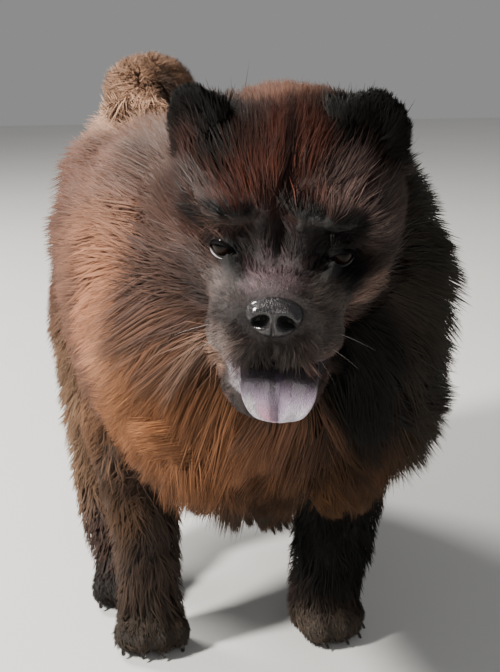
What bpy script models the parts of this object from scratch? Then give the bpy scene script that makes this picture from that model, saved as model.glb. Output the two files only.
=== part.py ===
"""A chow chow in mid stride, as a still, life-size model: one solid for each part of the body.

Metres, +Z up. The dog faces -Y and its left side is at +X. The origin is on the floor, under the middle of
the model's box. Every body form is a loft through a few cross-sections, given out to the tips of the coat.
"""
import math
import random

import bmesh
import bpy
import numpy as np
from mathutils import Matrix, Vector
from mathutils.bvhtree import BVHTree

# Driving sizes, out to the tips of the coat
BACK_HEIGHT = 0.512
BELLY_HEIGHT = 0.185
BARREL_HALF_WIDTH = 0.160
BODY_LENGTH = 0.600
CHEST_Y = -0.135
GAP = 0.0004
SOLE = 0.0
CORE_SHARE = 0.5

# A cutting block reaches this far, past any part of the dog
FAR = 1.0

# The locks of the long coat: how far a root is sunk below the core, how wide a lock is at each ring, how
# thick it is for its width, and how far it keeps from other nodes
ROOT_DEPTH = 0.011
LOCK_RINGS = 3
LOCK_WIDTHS = (0.72, 1.0, 0.74)
LOCK_THICKNESS = 0.30
CLEARANCE = 0.0007
SEED = 7
HALF_TURN = math.pi
FLAT_LIE = math.radians(90)

# Where the head is carried: between the eyes, with its turn, its nod and its tilt
FACE_PLACE = Vector((-0.009, -0.223, 0.430))
HEAD_TURN = math.radians(-16)
HEAD_NOD = math.radians(12)
HEAD_TILT = math.radians(3.5)

# Sizes of the head's parts, in metres and in the head's own axes
EYE_RADIUS = 0.0115
EYE_PLACES = {"eye_left": Vector((0.041, 0.004, -0.002)), "eye_right": Vector((-0.041, 0.004, -0.002))}
EYE_SPLAY = math.radians(18)
EYE_SLANT = math.radians(-10)
LID_THICKNESS = 0.0035
SLIT_RADII = (0.0098, 0.014, 0.0050)
MOUTH_ROOF = -0.057
MOUTH_BACK = 0.015
PADS = (
    ("lip", (0.026, -0.050, -0.042), (0.026, 0.034, 0.022), 12),
    ("brow", (0.040, 0.006, 0.026), (0.030, 0.018, 0.014), 9),
    ("fold", (0.013, 0.000, 0.016), (0.011, 0.014, 0.022), 9),
)
NOSE_PLACE = Vector((0, -0.079, -0.019))
NOSE_RADII = (0.0205, 0.013, 0.0155)
NOSTRIL_RADII = (0.0048, 0.008, 0.0042)
TONGUE_HALF_THICKNESS = 0.0034
EAR_NOD = math.radians(8)

# Each ear: its place and radii, then how far it leans out and how far its cup turns, in degrees. The right
# ear is turned out further.
EARS = {
    "ear_left": (Vector((0.057, 0.068, 0.064)), (0.037, 0.018, 0.046), 8, 2),
    "ear_right": (Vector((-0.070, 0.072, 0.062)), (0.031, 0.018, 0.043), -10, -32),
}
CUP_PLACE = (0, -0.017, 0.010)
CUP_RADII = (0.020, 0.014, 0.026)

# Sizes of the feet, then each paw's centre and the way its toes point, in degrees from -Y to +X
PAW_HEIGHT = 0.044
PAW_RADII = (0.036, 0.038, 0.032)
TOE_RADII = (0.0152, 0.022, 0.021)
TOE_SPACING = 0.0178
TOE_REACHES = {-1.5: -0.015, -0.5: -0.025, 0.5: -0.025, 1.5: -0.015}
PAWS = {
    "paw_fore_right": (-0.084, 0.012, -4),
    "paw_fore_left": (0.085, 0.000, 36),
    "paw_hind_right": (-0.096, 0.118, -4),
    "paw_hind_left": (0.088, 0.400, 8),
}

# The plane where the ruff starts, which parts the neck from the trunk
RUFF_TILT = math.radians(-16)
RUFF_PLACE = Vector((0, -0.018, 0.340))

COLOURS = {
    "coat": (0.075, 0.038, 0.024, 1),
    "ruff": (0.120, 0.055, 0.030, 1),
    "mask": (0.020, 0.015, 0.013, 1),
    "leather": (0.008, 0.008, 0.009, 1),
    "eye": (0.012, 0.006, 0.004, 1),
    "tongue": (0.300, 0.230, 0.290, 1),
}
ROUGHNESS = {"coat": 0.85, "ruff": 0.85, "mask": 0.8, "leather": 0.35, "eye": 0.05, "tongue": 0.4}

parts = None


def material(name):
    """The finish of that name, made once."""
    found = bpy.data.materials.get(name)
    if found:
        return found
    made = bpy.data.materials.new(name)
    made.use_nodes = True
    shader = made.node_tree.nodes["Principled BSDF"]
    shader.inputs["Base Color"].default_value = COLOURS[name]
    shader.inputs["Roughness"].default_value = ROUGHNESS[name]
    shader.inputs["Metallic"].default_value = 0.0
    made.diffuse_color = COLOURS[name]
    return made


def head_frame():
    """Carries the head's own axes, nose to -Y and origin between the eyes, to where the head is held."""
    turn = Matrix.Rotation(HEAD_TURN, 4, "Z")
    nod = Matrix.Rotation(HEAD_NOD, 4, "X")
    tilt = Matrix.Rotation(HEAD_TILT, 4, "Y")
    return Matrix.Translation(FACE_PLACE) @ turn @ nod @ tilt


class Form:
    """A closed loft. Each section has a centre, a half width, a reach up and down, the lean of its plane,
    and its coat's depth. A lean of 0 stands upright across the body, and one of 90 degrees lies flat."""

    def __init__(self, sections, squareness=2.3):
        self.rows = np.array(sections, float)
        self.power = 2 / squareness

    def at(self, t):
        """The section at t, from 0 to 1, on a smooth curve through the given ones."""
        rows = self.rows
        place = t * (len(rows) - 1)
        first = min(int(place), len(rows) - 2)
        share = place - first
        a, b, c, d = (rows[min(max(first + k, 0), len(rows) - 1)] for k in (-1, 0, 1, 2))
        rise = (c - a) / 2
        fall = (d - b) / 2
        square, cube = share**2, share**3
        return (
            (2 * cube - 3 * square + 1) * b
            + (cube - 2 * square + share) * rise
            + (3 * square - 2 * cube) * c
            + (cube - square) * fall
        )

    def point(self, t, turn, share=1.0, grow=0.0):
        """The surface at t along and turn round, with that share of the coat, and grown a little."""
        x, y, z, wide, up, down, lean, coat = self.at(t)
        less = grow - coat * (1 - share)
        across, rise = math.cos(turn), math.sin(turn)
        side = math.copysign(abs(across) ** self.power, across) * max(wide + less, 0.002)
        lift = math.copysign(abs(rise) ** self.power, rise) * max((up if rise > 0 else down) + less, 0.002)
        return Vector((x + side, y + lift * math.sin(lean), z + lift * math.cos(lean)))

    def mesh(self, sides, rings, share=1.0, grow=0.0):
        """A closed mesh of the form."""
        made = bmesh.new()
        loops = []
        for ring in range(rings):
            t = ring / (rings - 1)
            turns = [2 * math.pi * (side + 0.5) / sides for side in range(sides)]
            loops.append([made.verts.new(self.point(t, turn, share, grow)) for turn in turns])
        for near, far in zip(loops, loops[1:]):
            for side in range(sides):
                after = (side + 1) % sides
                made.faces.new((near[side], near[after], far[after], far[side]))
        made.faces.new(loops[0][::-1])
        made.faces.new(loops[-1])
        bmesh.ops.recalc_face_normals(made, faces=made.faces)
        return made


def as_object(name, made, matrix=None):
    """A mesh object from a bmesh, which is freed, with its faces split into triangles."""
    bmesh.ops.triangulate(made, faces=made.faces)
    if matrix is not None:
        made.transform(matrix)
    mesh = bpy.data.meshes.new(name)
    made.to_mesh(mesh)
    made.free()
    obj = bpy.data.objects.new(name, mesh)
    parts.objects.link(obj)
    return obj


def ball(centre, radii, segments=12, rings=8, matrix=None):
    """A bmesh ellipsoid."""
    made = bmesh.new()
    bmesh.ops.create_uvsphere(made, u_segments=segments, v_segments=rings, radius=1.0)
    made.transform(Matrix.Translation(centre) @ (matrix or Matrix()) @ Matrix.Diagonal((*radii, 1)))
    return made


def block(low, high, matrix=None):
    """A bmesh box between two corners."""
    made = bmesh.new()
    bmesh.ops.create_cube(made, size=1.0)
    low, high = Vector(low), Vector(high)
    size = Matrix.Diagonal((*(high - low), 1))
    made.transform((matrix or Matrix()) @ Matrix.Translation((low + high) / 2) @ size)
    return made


def combine(obj, others, operation, solver="EXACT"):
    """Joins or cuts obj by the other objects, applies that, and removes them."""
    group = bpy.data.collections.new("tools")
    bpy.context.scene.collection.children.link(group)
    for other in others:
        parts.objects.unlink(other)
        group.objects.link(other)
    modifier = obj.modifiers.new("combine", "BOOLEAN")
    modifier.operand_type = "COLLECTION"
    modifier.collection = group
    modifier.operation = operation
    modifier.solver = solver
    bpy.context.view_layer.update()
    mesh = bpy.data.meshes.new_from_object(obj.evaluated_get(bpy.context.evaluated_depsgraph_get()))
    obj.modifiers.clear()
    obj.data = mesh
    for other in others:
        bpy.data.objects.remove(other)
    bpy.data.collections.remove(group)
    return obj


def largest_only(obj):
    """Keeps only the largest closed surface of a node."""
    made = bmesh.new()
    made.from_mesh(obj.data)
    left = set(made.verts)
    pieces = []
    while left:
        piece, edge = set(), [left.pop()]
        while edge:
            vert = edge.pop()
            piece.add(vert)
            for link in vert.link_edges:
                other = link.other_vert(vert)
                if other in left:
                    left.discard(other)
                    edge.append(other)
        pieces.append(piece)
    pieces.sort(key=len)
    for piece in pieces[:-1]:
        bmesh.ops.delete(made, geom=list(piece), context="VERTS")
    made.to_mesh(obj.data)
    made.free()
    return obj


def finish(obj, finish_name):
    """Gives a node its material and shading."""
    obj.data.materials.clear()
    obj.data.materials.append(material(finish_name))
    obj.data.shade_smooth()
    obj.data.set_sharp_from_angle(angle=math.radians(50))
    return obj


def slope_normal(form, t, turn, grow):
    """The outward direction of a form's surface."""
    step = 0.01
    low, high = max(t - step, 0.0), min(t + step, 1.0)
    along = form.point(high, turn, 1.0, grow) - form.point(low, turn, 1.0, grow)
    around = form.point(t, turn + step, 1.0, grow) - form.point(t, turn - step, 1.0, grow)
    normal = around.cross(along).normalized()
    x, y, z = form.at(t)[:3]
    return normal if normal.dot(form.point(t, turn, 1.0, grow) - Vector((x, y, z))) > 0 else -normal


class Lock:
    """A flat, tapered lock. It rises from under the core to its tip, as it bends along the form from one
    place to another, given as t and turn."""

    def __init__(self, form, start, end, width, tip=0.0, bend=0.0):
        self.form, self.start, self.end = form, start, end
        self.width, self.tip, self.bend = width, tip, bend

    def mesh(self, swell=0.0):
        """The lock as a bmesh, swollen all round by that much."""
        form = self.form
        coat = form.at(self.start[0])[7]
        root = -coat * (1 - CORE_SHARE) - ROOT_DEPTH
        spine, normals = [], []
        for ring in range(LOCK_RINGS + 1):
            u = ring / LOCK_RINGS
            t = self.start[0] + (self.end[0] - self.start[0]) * u
            turn = self.start[1] + (self.end[1] - self.start[1]) * u + self.bend * math.sin(math.pi * u)
            rise = root + (self.tip - root) * u**0.8
            spine.append(form.point(min(max(t, 0.0), 1.0), turn, 1.0, rise))
            normals.append(slope_normal(form, min(max(t, 0.0), 1.0), turn, rise))
        made = bmesh.new()
        loops = []
        for ring in range(LOCK_RINGS):
            ahead = (spine[ring + 1] - spine[max(ring - 1, 0)]).normalized()
            side = ahead.cross(normals[ring]).normalized()
            out = side.cross(ahead).normalized()
            wide = self.width / 2 * LOCK_WIDTHS[ring] + swell
            thick = self.width * LOCK_THICKNESS * LOCK_WIDTHS[ring] + swell * 2
            place = spine[ring]
            under = out * swell
            corners = (place + side * wide - under, place + out * thick, place - side * wide - under)
            loops.append([made.verts.new(corner) for corner in corners])
        point = made.verts.new(spine[-1] + (spine[-1] - spine[-2]).normalized() * swell)
        for near, far in zip(loops, loops[1:]):
            for side in range(3):
                after = (side + 1) % 3
                made.faces.new((near[side], near[after], far[after], far[side]))
        for side in range(3):
            made.faces.new((loops[-1][side], loops[-1][(side + 1) % 3], point))
        made.faces.new(loops[0][::-1])
        bmesh.ops.triangulate(made, faces=made.faces)
        bmesh.ops.recalc_face_normals(made, faces=made.faces)
        return made

    def shorter(self, share):
        """The same lock, cut to a share of its way."""
        ends = [a + (b - a) * share for a, b in zip(self.start, self.end)]
        return Lock(self.form, self.start, ends, self.width * (0.4 + 0.6 * share), self.tip * share, self.bend)


def tree(obj):
    """A search tree over a node's faces."""
    mesh = obj.data
    mesh.calc_loop_triangles()
    corners = [triangle.vertices[:] for triangle in mesh.loop_triangles]
    return BVHTree.FromPolygons([vert.co for vert in mesh.vertices], corners)


def inside(search, place):
    """Whether a place is inside the closed mesh of a search tree, as a line from it crosses the mesh an odd
    number of times."""
    way, step = Vector((0.31, 0.17, 0.93)).normalized(), 1e-6
    crossings = 0
    hit = search.ray_cast(place, way)[0]
    while hit is not None:
        crossings += 1
        hit = search.ray_cast(hit + way * step, way)[0]
    return crossings % 2 == 1


def clear_of(lock, others):
    """Whether a lock keeps its clearance from the other nodes."""
    made = lock.mesh(CLEARANCE)
    search = BVHTree.FromBMesh(made)
    points = [vert.co.copy() for vert in made.verts]
    made.free()
    return not any(search.overlap(other) or inside(other, points[-1]) for other in others)


def fuse(obj, locks, others):
    """Fuses a node's locks to its core. A lock that would cross another node is cut shorter, or left out."""
    searches = [tree(other) for other in others]
    pieces = []
    for number, lock in enumerate(locks):
        for share in (1.0, 0.8, 0.62):
            trial = lock.shorter(share)
            if clear_of(trial, searches):
                pieces.append(as_object(f"lock_{number}", trial.mesh()))
                break
    return largest_only(combine(obj, pieces, "UNION", "MANIFOLD"))


def rows_of_locks(form, rows, first, last, draw):
    """Staggered rows of locks on a form, between two turns. A row is the t of its roots, its count, the way
    its locks go along t, their width, how far each turns down, and how far a tip stands out."""
    locks = []
    for number, (t, count, length, width, droop, tip) in enumerate(rows):
        for place in range(count):
            share = (place + (0.25 if number % 2 else 0.75)) / count
            turn = first + (last - first) * (share + draw.uniform(-0.12, 0.12) / count)
            start = (t + draw.uniform(-0.012, 0.012), turn)
            reach = length * draw.uniform(0.85, 1.15)
            end = (start[0] + reach, turn - droop * math.cos(turn) * draw.uniform(0.7, 1.3))
            wide = width * draw.uniform(0.85, 1.15)
            rise, bend = tip * draw.uniform(0.2, 1.0), draw.uniform(-0.06, 0.06)
            locks.append(Lock(form, start, end, wide, rise, bend))
    return locks


# The body's forms. A row: x, y, z, half width, up, down, lean, coat.


def torso_form():
    """The barrel, from the forechest to the rump."""
    middle = (BACK_HEIGHT + BELLY_HEIGHT) / 2
    half = (BACK_HEIGHT - BELLY_HEIGHT) / 2
    shares = (  # along the body, width, top, bottom
        (0.00, 0.30, 0.30, 0.40),
        (0.05, 0.74, 0.66, 0.86),
        (0.14, 0.95, 0.93, 1.00),
        (0.26, 1.03, 1.04, 1.05),
        (0.42, 1.02, 1.00, 1.02),
        (0.58, 0.98, 0.98, 0.95),
        (0.74, 1.00, 1.02, 0.86),
        (0.86, 0.96, 1.00, 0.86),
        (0.95, 0.76, 0.84, 0.74),
        (0.99, 0.46, 0.54, 0.48),
        (1.00, 0.16, 0.20, 0.18),
    )
    rows = []
    for along, wide, top, low in shares:
        y = CHEST_Y + along * BODY_LENGTH
        rows.append((0, y, middle, wide * BARREL_HALF_WIDTH, top * half, low * half, 0, 0.045))
    return Form(rows)


def neck_form():
    """The neck in its ruff, from the shoulders to behind the jaw; its sections lean back."""
    lean = math.radians(30)
    return Form(
        [
            (0.004, 0.062, 0.340, 0.160, 0.162, 0.170, lean, 0.050),
            (0.012, -0.005, 0.350, 0.167, 0.175, 0.215, lean, 0.060),
            (0.020, -0.060, 0.370, 0.167, 0.170, 0.225, lean, 0.065),
            (0.023, -0.104, 0.400, 0.153, 0.148, 0.200, lean, 0.065),
            (0.018, -0.144, 0.422, 0.132, 0.120, 0.156, lean, 0.050),
            (0.012, -0.164, 0.432, 0.086, 0.080, 0.100, lean, 0.032),
        ]
    )


def tail_form():
    """The tail, which rises from the rump and curls forward over the back."""
    rows = (
        (0.000, 0.395, 0.420, 0.038, 55),
        (-0.008, 0.434, 0.468, 0.044, 75),
        (-0.018, 0.424, 0.502, 0.048, 130),
        (-0.030, 0.380, 0.510, 0.048, 180),
        (-0.037, 0.325, 0.509, 0.042, 195),
        (-0.038, 0.275, 0.500, 0.018, 205),
    )
    sections = [(x, y, z, r * 1.2, r, r, math.radians(-way), 0.028) for x, y, z, r, way in rows]
    return Form(sections, squareness=2)


def foreleg_form(side):
    """A foreleg down to the wrist. The left one slants in from the elbow, as it has just been set down."""
    if side < 0:
        rows = (
            (-0.082, 0.055, 0.300, 0.036, 0.050, 0.044),
            (-0.100, 0.052, 0.235, 0.048, 0.060, 0.050),
            (-0.091, 0.032, 0.160, 0.043, 0.047, 0.041),
            (-0.085, 0.020, 0.095, 0.038, 0.038, 0.037),
            (-0.085, 0.014, 0.040, 0.036, 0.034, 0.036),
        )
    else:
        rows = (
            (0.088, 0.055, 0.300, 0.036, 0.050, 0.044),
            (0.114, 0.046, 0.235, 0.054, 0.060, 0.050),
            (0.110, 0.024, 0.160, 0.052, 0.050, 0.043),
            (0.098, 0.010, 0.095, 0.046, 0.042, 0.040),
            (0.087, 0.004, 0.040, 0.040, 0.036, 0.037),
        )
    return Form([(*row, FLAT_LIE, 0.014) for row in rows])


def thigh_form(side):
    """A thigh in its breeches, down to the hock."""
    if side < 0:
        rows = (
            (-0.070, 0.340, 0.385, 0.040, 0.060, 0.066),
            (-0.088, 0.322, 0.330, 0.062, 0.092, 0.090),
            (-0.102, 0.285, 0.270, 0.062, 0.088, 0.085),
            (-0.104, 0.240, 0.190, 0.053, 0.062, 0.052),
            (-0.105, 0.212, 0.120, 0.046, 0.046, 0.042),
        )
    else:
        rows = (
            (0.070, 0.350, 0.385, 0.040, 0.060, 0.066),
            (0.086, 0.352, 0.330, 0.062, 0.088, 0.090),
            (0.098, 0.362, 0.270, 0.060, 0.080, 0.085),
            (0.094, 0.392, 0.200, 0.050, 0.058, 0.058),
            (0.090, 0.420, 0.135, 0.040, 0.042, 0.040),
        )
    return Form([(*row, FLAT_LIE, 0.030) for row in rows])


def hock_form(side):
    """The lower hind leg, from the hock to the paw."""
    if side < 0:
        rows = (
            (-0.104, 0.222, 0.150, 0.042, 0.043, 0.038),
            (-0.105, 0.206, 0.105, 0.044, 0.041, 0.038),
            (-0.102, 0.165, 0.070, 0.043, 0.037, 0.037),
            (-0.096, 0.125, 0.038, 0.039, 0.035, 0.036),
        )
    else:
        rows = (
            (0.090, 0.426, 0.170, 0.036, 0.038, 0.036),
            (0.089, 0.434, 0.120, 0.036, 0.038, 0.036),
            (0.088, 0.424, 0.080, 0.036, 0.036, 0.036),
            (0.088, 0.408, 0.038, 0.036, 0.034, 0.036),
        )
    return Form([(*row, FLAT_LIE, 0.010) for row in rows])


def paw(name):
    """A round, cat-like paw of four toes, with a flat sole on the floor and a flat top under the leg."""
    x, y, way = PAWS[name]
    place = Matrix.Translation((x, y, 0)) @ Matrix.Rotation(math.radians(way), 4, "Z")
    obj = as_object(name, ball((0, 0, 0.024), PAW_RADII, 12, 7), place)
    toes = []
    for spread, reach in TOE_REACHES.items():
        toe = ball((spread * TOE_SPACING, reach, 0.016), TOE_RADII, 8, 5)
        toes.append(as_object("toe", toe, place))
        claw = bmesh.new()
        bmesh.ops.create_cone(claw, cap_ends=True, segments=4, radius1=0.0036, radius2=0.0012, depth=0.014)
        tip = Matrix.Translation((spread * TOE_SPACING * 1.04, reach - 0.022, 0.009))
        claw.transform(tip @ Matrix.Rotation(math.radians(112), 4, "X"))
        toes.append(as_object("claw", claw, place))
    combine(obj, toes, "UNION")
    under = as_object("under", block((-FAR, -FAR, -FAR), (FAR, FAR, SOLE)))
    above = as_object("above", block((-FAR, -FAR, PAW_HEIGHT), (FAR, FAR, FAR)))
    combine(obj, [under, above], "DIFFERENCE")
    return finish(largest_only(obj), "mask")


# The head's forms, in the head's own axes.


def skull_form():
    """The skull, cheeks and padded upper muzzle, from the nape to behind the nose."""
    return Form(
        [
            (0, 0.135, 0.020, 0.045, 0.050, 0.050, 0, 0.0),
            (0, 0.115, 0.015, 0.082, 0.084, 0.080, 0, 0.0),
            (0, 0.070, 0.008, 0.096, 0.089, 0.090, 0, 0.0),
            (0, 0.030, 0.000, 0.088, 0.074, 0.085, 0, 0.0),
            (0, 0.004, -0.010, 0.070, 0.044, 0.070, 0, 0.0),
            (0, -0.018, -0.020, 0.055, 0.022, 0.042, 0, 0.0),
            (0, -0.045, -0.024, 0.050, 0.024, 0.038, 0, 0.0),
            (0, -0.068, -0.026, 0.045, 0.026, 0.038, 0, 0.0),
            (0, -0.080, -0.028, 0.031, 0.018, 0.030, 0, 0.0),
        ],
        squareness=2.4,
    )


def jaw_form():
    """The lower jaw, dropped a little, from the throat to the chin."""
    return Form(
        [
            (0, 0.050, -0.078, 0.050, 0.020, 0.030, 0, 0.0),
            (0, 0.010, -0.082, 0.053, 0.018, 0.032, 0, 0.0),
            (0, -0.030, -0.088, 0.044, 0.015, 0.028, 0, 0.0),
            (0, -0.058, -0.093, 0.036, 0.014, 0.022, 0, 0.0),
            (0, -0.070, -0.096, 0.024, 0.009, 0.015, 0, 0.0),
        ],
        squareness=2.4,
    )


def tongue_form():
    """The tongue, which lies in the jaw and hangs over the lower lip, a little to the left."""
    rows = (
        (0.0015, 0.000, -0.0640, 0.022, 0),
        (0.0030, -0.030, -0.0640, 0.027, -4),
        (0.0045, -0.058, -0.0650, 0.0285, 8),
        (0.0060, -0.076, -0.0690, 0.028, 35),
        (0.0065, -0.084, -0.0780, 0.0265, 65),
        (0.0065, -0.087, -0.0880, 0.0215, 80),
        (0.0065, -0.087, -0.0940, 0.0125, 85),
    )
    thick = TONGUE_HALF_THICKNESS
    return Form([(x, y, z, r, thick, thick, -math.radians(way), 0.0) for x, y, z, r, way in rows])


def eye_frame(name):
    """The head's frame moved to an eye, looking forward and a little out, with its slit aslant."""
    side = math.copysign(1, EYE_PLACES[name].x)
    splay = Matrix.Rotation(side * EYE_SPLAY, 4, "Z")
    slant = Matrix.Rotation(side * EYE_SLANT, 4, "Y")
    return head_frame() @ Matrix.Translation(EYE_PLACES[name]) @ splay @ slant


def head():
    """The head above the mouth: skull, muzzle, brows, lips and lids, with sockets for the eyes."""
    frame = head_frame()
    obj = as_object("head", skull_form().mesh(16, 16), frame)
    pads = []
    for side in (-1, 1):
        for name, (x, y, z), radii, segments in PADS:
            pads.append(as_object(name, ball((side * x, y, z), radii, segments, segments * 2 // 3), frame))
    for name in EYE_PLACES:
        lids = ball((0, 0, 0), (EYE_RADIUS + LID_THICKNESS,) * 3, 14, 8)
        pads.append(as_object("lids", lids, eye_frame(name)))
    combine(obj, pads, "UNION")
    cuts = []
    for name in EYE_PLACES:
        socket = ball((0, 0, 0), (EYE_RADIUS + GAP * 2,) * 3, 12, 8)
        cuts.append(as_object("socket", socket, eye_frame(name)))
        cuts.append(as_object("slit", ball((0, -0.012, -0.001), SLIT_RADII, 12, 8), eye_frame(name)))
    cuts.append(as_object("mouth", block((-FAR, -FAR, -FAR), (FAR, MOUTH_BACK, MOUTH_ROOF)), frame))
    combine(obj, cuts, "DIFFERENCE")
    return largest_only(obj)


def eye(name):
    """An eyeball with its iris dished into the front."""
    obj = as_object(name, ball((0, 0, 0), (EYE_RADIUS,) * 3, 12, 8), eye_frame(name))
    return finish(obj, "eye")


def jaw():
    """The lower jaw with its lips, under the mouth."""
    return as_object("jaw", jaw_form().mesh(14, 9), head_frame())


def tongue():
    """The tongue, with a groove along its middle."""
    return as_object("tongue", tongue_form().mesh(10, 13), head_frame())


def nose():
    """The nose leather, with a comma-shaped nostril on each side and a cleft between."""
    frame = head_frame() @ Matrix.Translation(NOSE_PLACE)
    obj = as_object("nose", ball((0, 0, 0), NOSE_RADII, 16, 10), frame)
    cuts = []
    for side in (-1, 1):
        turn = Matrix.Rotation(side * math.radians(25), 4, "Y")
        hole = ball((side * 0.0085, -0.012, -0.001), NOSTRIL_RADII, 10, 8, turn)
        cuts.append(as_object("nostril", hole, frame))
    combine(obj, cuts, "DIFFERENCE")
    return obj


def ear(name):
    """A small, thick ear with a round tip and its cup turned forward."""
    place, radii, lean, turn = EARS[name]
    stand = (
        head_frame()
        @ Matrix.Translation(place)
        @ Matrix.Rotation(math.radians(lean), 4, "Y")
        @ Matrix.Rotation(math.radians(turn), 4, "Z")
        @ Matrix.Rotation(EAR_NOD, 4, "X")
    )
    obj = as_object(name, ball((0, 0, 0), radii, 16, 12), stand)
    combine(obj, [as_object("cup", ball(CUP_PLACE, CUP_RADII, 12, 8), stand)], "DIFFERENCE")
    return obj


def grown_copy(obj):
    """A copy of a node grown by the gap along its normals, to cut a neighbour with."""
    made = bmesh.new()
    made.from_mesh(obj.data)
    made.normal_update()
    shifts = [vert.co + vert.normal * GAP * 1.3 for vert in made.verts]
    for vert, place in zip(made.verts, shifts):
        vert.co = place
    return as_object("grown", made)


def neck_locks(draw):
    """The ruff, which stands out round the face, and the hair that falls from it over neck and chest."""
    rows = (
        (0.93, 13, -0.17, 0.058, 0.10, 0.010),
        (0.80, 14, -0.20, 0.066, 0.10, 0.010),
        (0.62, 14, -0.24, 0.070, 0.12, 0.010),
        (0.42, 13, -0.24, 0.072, 0.14, 0.008),
        (0.26, 12, -0.20, 0.070, 0.14, 0.004),
    )
    return rows_of_locks(neck_form(), rows, -HALF_TURN, HALF_TURN, draw)


def torso_locks(draw):
    """The coat of the back, the flanks and the belly, which hangs down over the rump."""
    rows = (
        (0.24, 12, 0.17, 0.068, 0.14, 0.004),
        (0.34, 12, 0.17, 0.070, 0.12, 0.006),
        (0.46, 12, 0.17, 0.072, 0.14, 0.006),
        (0.58, 12, 0.17, 0.072, 0.16, 0.006),
        (0.70, 12, 0.16, 0.070, 0.25, 0.006),
        (0.82, 11, 0.12, 0.066, 0.45, 0.006),
        (0.92, 7, 0.05, 0.058, 0.70, 0.004),
    )
    return rows_of_locks(torso_form(), rows, -HALF_TURN, HALF_TURN, draw)


def tail_locks(draw):
    """The plume of the tail, which falls to both sides of it."""
    rows = (
        (0.16, 6, 0.28, 0.056, 0, 0.006),
        (0.44, 6, 0.30, 0.060, 0, 0.010),
        (0.70, 6, 0.27, 0.054, 0, 0.012),
    )
    return rows_of_locks(tail_form(), rows, -HALF_TURN, HALF_TURN, draw)


def thigh_locks(side, draw):
    """The breeches behind the thigh, and the coat of its outer side."""
    first, last = (-0.9, 2.6) if side > 0 else (0.5, 4.0)
    rows = (
        (0.30, 5, 0.24, 0.056, 0, 0.006),
        (0.46, 5, 0.24, 0.054, 0, 0.006),
        (0.64, 5, 0.24, 0.048, 0, 0.006),
    )
    return rows_of_locks(thigh_form(side), rows, first, last, draw)


def foreleg_locks(side, draw):
    """The feathering behind the elbow and down the leg."""
    rows = (
        (0.20, 4, 0.24, 0.044, 0, 0.004),
        (0.40, 4, 0.22, 0.040, 0, 0.006),
        (0.58, 3, 0.20, 0.034, 0, 0.005),
    )
    first, last = (-0.5, 2.6) if side > 0 else (0.5, 3.6)
    return rows_of_locks(foreleg_form(side), rows, first, last, draw)


def trunk_core():
    """The trunk and neck in one, before they are parted."""
    obj = as_object("trunk", torso_form().mesh(16, 16, CORE_SHARE))
    return combine(obj, [as_object("neck_core", neck_form().mesh(16, 11, CORE_SHARE))], "UNION")


def face_nodes(nodes):
    """The head and what is set in it, each cut clear of the others."""
    nodes["head"] = head()
    nodes["jaw"] = jaw()
    nodes["tongue"] = tongue()
    nodes["nose"] = nose()
    combine(nodes["nose"], [grown_copy(nodes["head"])], "DIFFERENCE")
    combine(nodes["head"], [grown_copy(nodes["tongue"])], "DIFFERENCE")
    combine(nodes["jaw"], [grown_copy(nodes["tongue"]), grown_copy(nodes["head"])], "DIFFERENCE")
    for name in EARS:
        nodes[name] = ear(name)
        combine(nodes[name], [grown_copy(nodes["head"])], "DIFFERENCE")
    for name in EYE_PLACES:
        nodes[name] = eye(name)
    for name in ("head", "jaw", "tongue", "nose", "ear_left", "ear_right"):
        largest_only(nodes[name])


def leg_nodes(nodes):
    """The legs' cores and the paws."""
    for side, word in ((-1, "right"), (1, "left")):
        foreleg, thigh, hock = f"foreleg_{word}", f"thigh_{word}", f"hock_{word}"
        nodes[foreleg] = as_object(foreleg, foreleg_form(side).mesh(12, 10, CORE_SHARE))
        nodes[thigh] = as_object(thigh, thigh_form(side).mesh(12, 9, CORE_SHARE))
        nodes[hock] = as_object(hock, hock_form(side).mesh(12, 7))
        combine(nodes[hock], [grown_copy(nodes[thigh])], "DIFFERENCE")
        for leg in (foreleg, hock):
            low = as_object("low", block((-FAR, -FAR, -FAR), (FAR, FAR, PAW_HEIGHT + GAP)))
            combine(nodes[leg], [low], "DIFFERENCE")
            largest_only(nodes[leg])
    for name in PAWS:
        nodes[name] = paw(name)


def build():
    global parts
    for old in list(bpy.data.objects):
        bpy.data.objects.remove(old)
    parts = bpy.data.collections.new("chow_chow")
    bpy.context.scene.collection.children.link(parts)
    draw = random.Random(SEED)

    nodes = {}
    face_nodes(nodes)
    leg_nodes(nodes)
    nodes["tail"] = as_object("tail", tail_form().mesh(12, 14, CORE_SHARE))
    slope = Matrix.Translation(RUFF_PLACE) @ Matrix.Rotation(RUFF_TILT, 4, "X")
    for name, far in (("torso", (FAR, 0, FAR)), ("neck", (FAR, FAR, FAR))):
        nodes[name] = trunk_core()
        nodes[name].name = name
        near = (-FAR, -FAR, -FAR) if name == "torso" else (-FAR, -GAP, -FAR)
        cuts = [as_object("half", block(near, far, slope))]
        if name == "torso":
            beside = ("tail", "foreleg_left", "foreleg_right", "thigh_left", "thigh_right")
        else:
            beside = ("head", "jaw", "ear_left", "ear_right", "foreleg_left", "foreleg_right")
        cuts += [grown_copy(nodes[other]) for other in beside]
        largest_only(combine(nodes[name], cuts, "DIFFERENCE"))

    locks = {
        "neck": neck_locks(draw),
        "tail": tail_locks(draw),
        "thigh_left": thigh_locks(1, draw),
        "thigh_right": thigh_locks(-1, draw),
        "foreleg_left": foreleg_locks(1, draw),
        "foreleg_right": foreleg_locks(-1, draw),
        "torso": torso_locks(draw),
    }
    for name, its_locks in locks.items():
        others = [obj for other, obj in nodes.items() if other != name]
        fuse(nodes[name], its_locks, others)
    finishes = {"torso": "coat", "neck": "ruff", "tail": "coat", "nose": "leather", "tongue": "tongue"}
    for name, obj in nodes.items():
        if not name.startswith(("eye", "paw")):
            finish(obj, finishes.get(name, "coat" if "thigh" in name else "mask"))
    return nodes


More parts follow.
